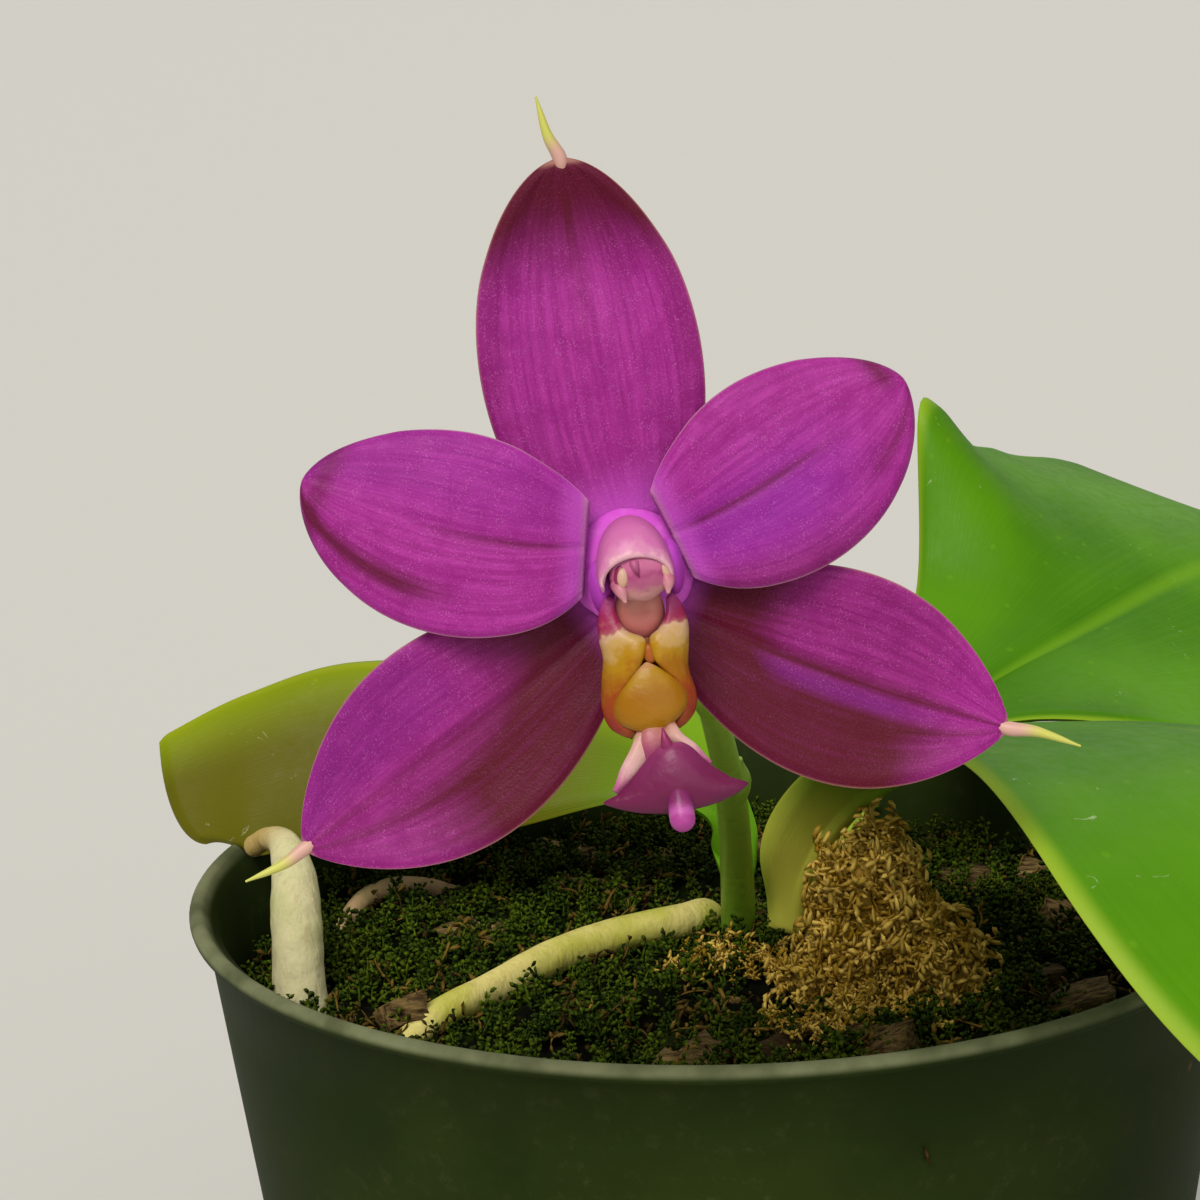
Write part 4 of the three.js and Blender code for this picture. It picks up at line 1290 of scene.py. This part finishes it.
lip = {
    # outer and inner edges of each side lobe, from its horn down to the rim of the pouch
    "leftOuter": [(-2.25, -1.35, 6.1), (-3.0, -2.9, 6.0), (-3.22, -4.3, 6.0), (-3.15, -5.8, 6.0),
                  (-3.5, -7.3, 5.6), (-3.78, -9.2, 5.5), (-3.4, -10.6, 5.9), (-2.1, -11.6, 6.4)],
    "leftInner": [(-1.75, -1.75, 6.2), (-1.68, -2.9, 6.3), (-1.2, -4.1, 6.7), (-0.05, -4.95, 7.1),
                  (-0.6, -6.5, 7.3), (-2.4, -8.5, 6.9), (-2.75, -10.1, 6.8), (-1.7, -11.1, 6.9)],
    "rightOuter": [(2.3, -1.95, 6.1), (2.85, -2.9, 6.0), (3.08, -4.2, 6.0), (2.9, -5.6, 6.0),
                   (2.6, -7.3, 5.7), (2.85, -9.1, 5.5), (2.5, -10.4, 5.8), (1.3, -11.4, 6.4)],
    "rightInner": [(1.88, -2.25, 6.2), (1.68, -3.3, 6.4), (1.0, -4.3, 6.7), (0.25, -4.9, 7.1),
                   (0.35, -6.4, 7.3), (1.5, -8.1, 6.9), (1.75, -9.8, 6.8), (1.0, -11.0, 6.9)],
    "shieldLeft": [(-0.3, -6.45, 7.3), (-1.85, -7.7, 7.0), (-3.05, -9.1, 6.6), (-2.75, -10.5, 6.5),
                   (-0.5, -11.4, 7.0)],
    "shieldRight": [(-0.2, -6.45, 7.3), (1.15, -7.5, 7.0), (2.15, -8.8, 6.6), (1.95, -10.1, 6.5),
                    (-0.1, -11.4, 7.0)],
    "midRidge": [(0.45, -12.1, 8.9), (0.55, -12.8, 9.5), (0.55, -13.8, 9.8), (0.5, -15.0, 9.9),
                 (0.42, -16.0, 9.6), (0.4, -16.9, 9.3)],
    "midLeft": [(0.35, -12.12, 8.8), (-1.1, -12.85, 8.7), (-2.4, -13.95, 8.5), (-3.8, -15.1, 8.3),
                (-4.62, -15.6, 8.5), (-0.9, -16.85, 8.9)],
    "midRight": [(0.6, -12.12, 8.8), (1.75, -12.75, 8.7), (2.75, -14.0, 8.5), (4.2, -15.2, 8.3),
                 (5.15, -15.9, 8.5), (1.55, -16.85, 8.9)],
}


def makeLip():
    lobeBands = [(0.02, "#a03a78"), (0.18, "#92204e"), (0.24, "#9a4a58"), (0.3, "#c09c7c"), (0.4, "#b89458"),
                 (0.5, "#a87c0c"), (0.6, "#9c6404"), (0.72, "#944010"), (0.84, "#8a3020"), (0.94, "#90401c")]
    for hand, side in hands:
        edges = (lip[side + "Outer"], lip[side + "Inner"])[::-hand]  # the one further left comes first
        surface = between(*edges, level(0.25, 0.4, 0.55, 0.8, 0.7, 0.35, 0.3, 0.2))
        lobe = flowerSheet(f"lip_lobe_{side}", surface, 110, 34, 0.45, 1, 11)
        dress(lobe, bandLook(f"lobeBands{side}", lobeBands), "lip_yellow")
    balls = {
        "lip_pouch": ((-0.3, -9.2, 5.0), (3.0, 2.5, 2.2), "pouchOrange", "#8a300e", "#98420e", "lip"),
        "lip_base": ((-0.15, -5.6, 5.0), (2.3, 2.6, 1.3), "lipBaseGold", "#94542c", "#8a4a20"),
        "lip_tooth": ((0.1, -5.9, 7.2), (0.5, 0.7, 0.3), "toothOrange", "#9a4c18", "#a05820"),
    }
    for name, (centre, radii, skin, low, high, *nodes) in balls.items():
        dress(flowerBall(name, centre, radii), waxyLook(skin, low, high), "lip_yellow", *nodes)
    surface = between(lip["shieldLeft"], lip["shieldRight"], level(0.1, 0.7, 1.3, 1.35, 0.5))
    shield = flowerSheet("lip_callus", surface, 60, 40, 0.5, 1.5, 4.5)
    goldBands = [(0.0, "#b4845a"), (0.2, "#a47a18"), (0.5, "#966202"), (0.8, "#9c6a08"), (0.95, "#ac8038")]
    dress(shield, bandLook("callusGold", goldBands), "lip_yellow")
    pale = [(0.0, "#a06a5c"), (0.25, "#c89c94"), (0.6, "#d0a4a4"), (0.9, "#b05a88")]
    pink = [(0.0, "#a8705c"), (0.4, "#b06870"), (0.9, "#98406c")]
    strips = {
        "left": ([(-0.5, -11.0, 7.1), (-1.6, -12.5, 7.8), (-2.8, -13.8, 8.0), (-3.85, -14.9, 8.1)],
                 level(1.0, 0.8, 0.6, 0.2), pale),
        "middle": ([(-0.3, -10.9, 7.6), (-0.5, -11.8, 8.0), (-0.6, -13.2, 8.2)], level(0.9, 1.0, 0.8), pink),
        "right": ([(0.3, -11.0, 7.4), (1.0, -11.9, 8.3), (1.95, -12.8, 8.4), (3.0, -14.0, 8.3)],
                  level(0.7, 0.45, 0.35, 0.1), pale),
    }
    for side, (line, halfWidth, bands) in strips.items():
        strip = {"curve": spline(line), "face": (0, 0, 1), "halfWidth": halfWidth, "least": 0.05,
                 "lift": lambda t, s: -12 * np.abs(s), "length": 5, "crowd": 1.0}
        neck = bladePiece(f"lip_neck_{side}", strip, 50, 24, 0.4, place=inFlower)
        dress(neck, bandLook(f"neckPale{side}", bands), "lip_yellow")
    left, ridge, right = [spline(lip[key]) for key in ("midLeft", "midRidge", "midRight")]

    def tent(t, s):
        s = (np.sign(s) * np.abs(s) ** 0.8)[..., None]
        return ridge(t) * (1 - s * s) + left(t) * (s * s - s) / 2 + right(t) * (s * s + s) / 2
    front = flowerSheet("lip_midlobe", tent, 90, 60, 0.55, 3, 5.6)
    keel = flowerRod("lip_keel", [(0.3, -13.0, 8.9), (0.15, -12.0, 9.2), (0.08, -11.05, 9.2)],
                     level(0.6, 0.4, 0.08), 30, 20)
    knob = flowerRod("lip_knob", [(0.45, -15.0, 9.2), (0.42, -16.2, 9.75), (0.38, -17.35, 10.15)],
                     level(0.7, 0.86, 0.88), 40, 32, endRound=0.95)
    purples = {
        "midlobePurple": (front, (0.0, "#96406e"), (0.25, "#7a2858"), (0.6, "#6c1c48"), (0.95, "#641c44")),
        "keelPurple": (keel, (0.0, "#7a2858"), (0.9, "#8a2858")),
        "knobMagenta": (knob, (0.0, "#6c1c48"), (0.5, "#7a2860"), (0.85, "#b858a4"), (1.0, "#a84090")),
    }
    for name, (piece, *bands) in purples.items():
        dress(piece, bandLook(name, bands), "petal_violet")


makeColumn()
makeLip()
print("column and lip")

bpy.context.view_layer.update()
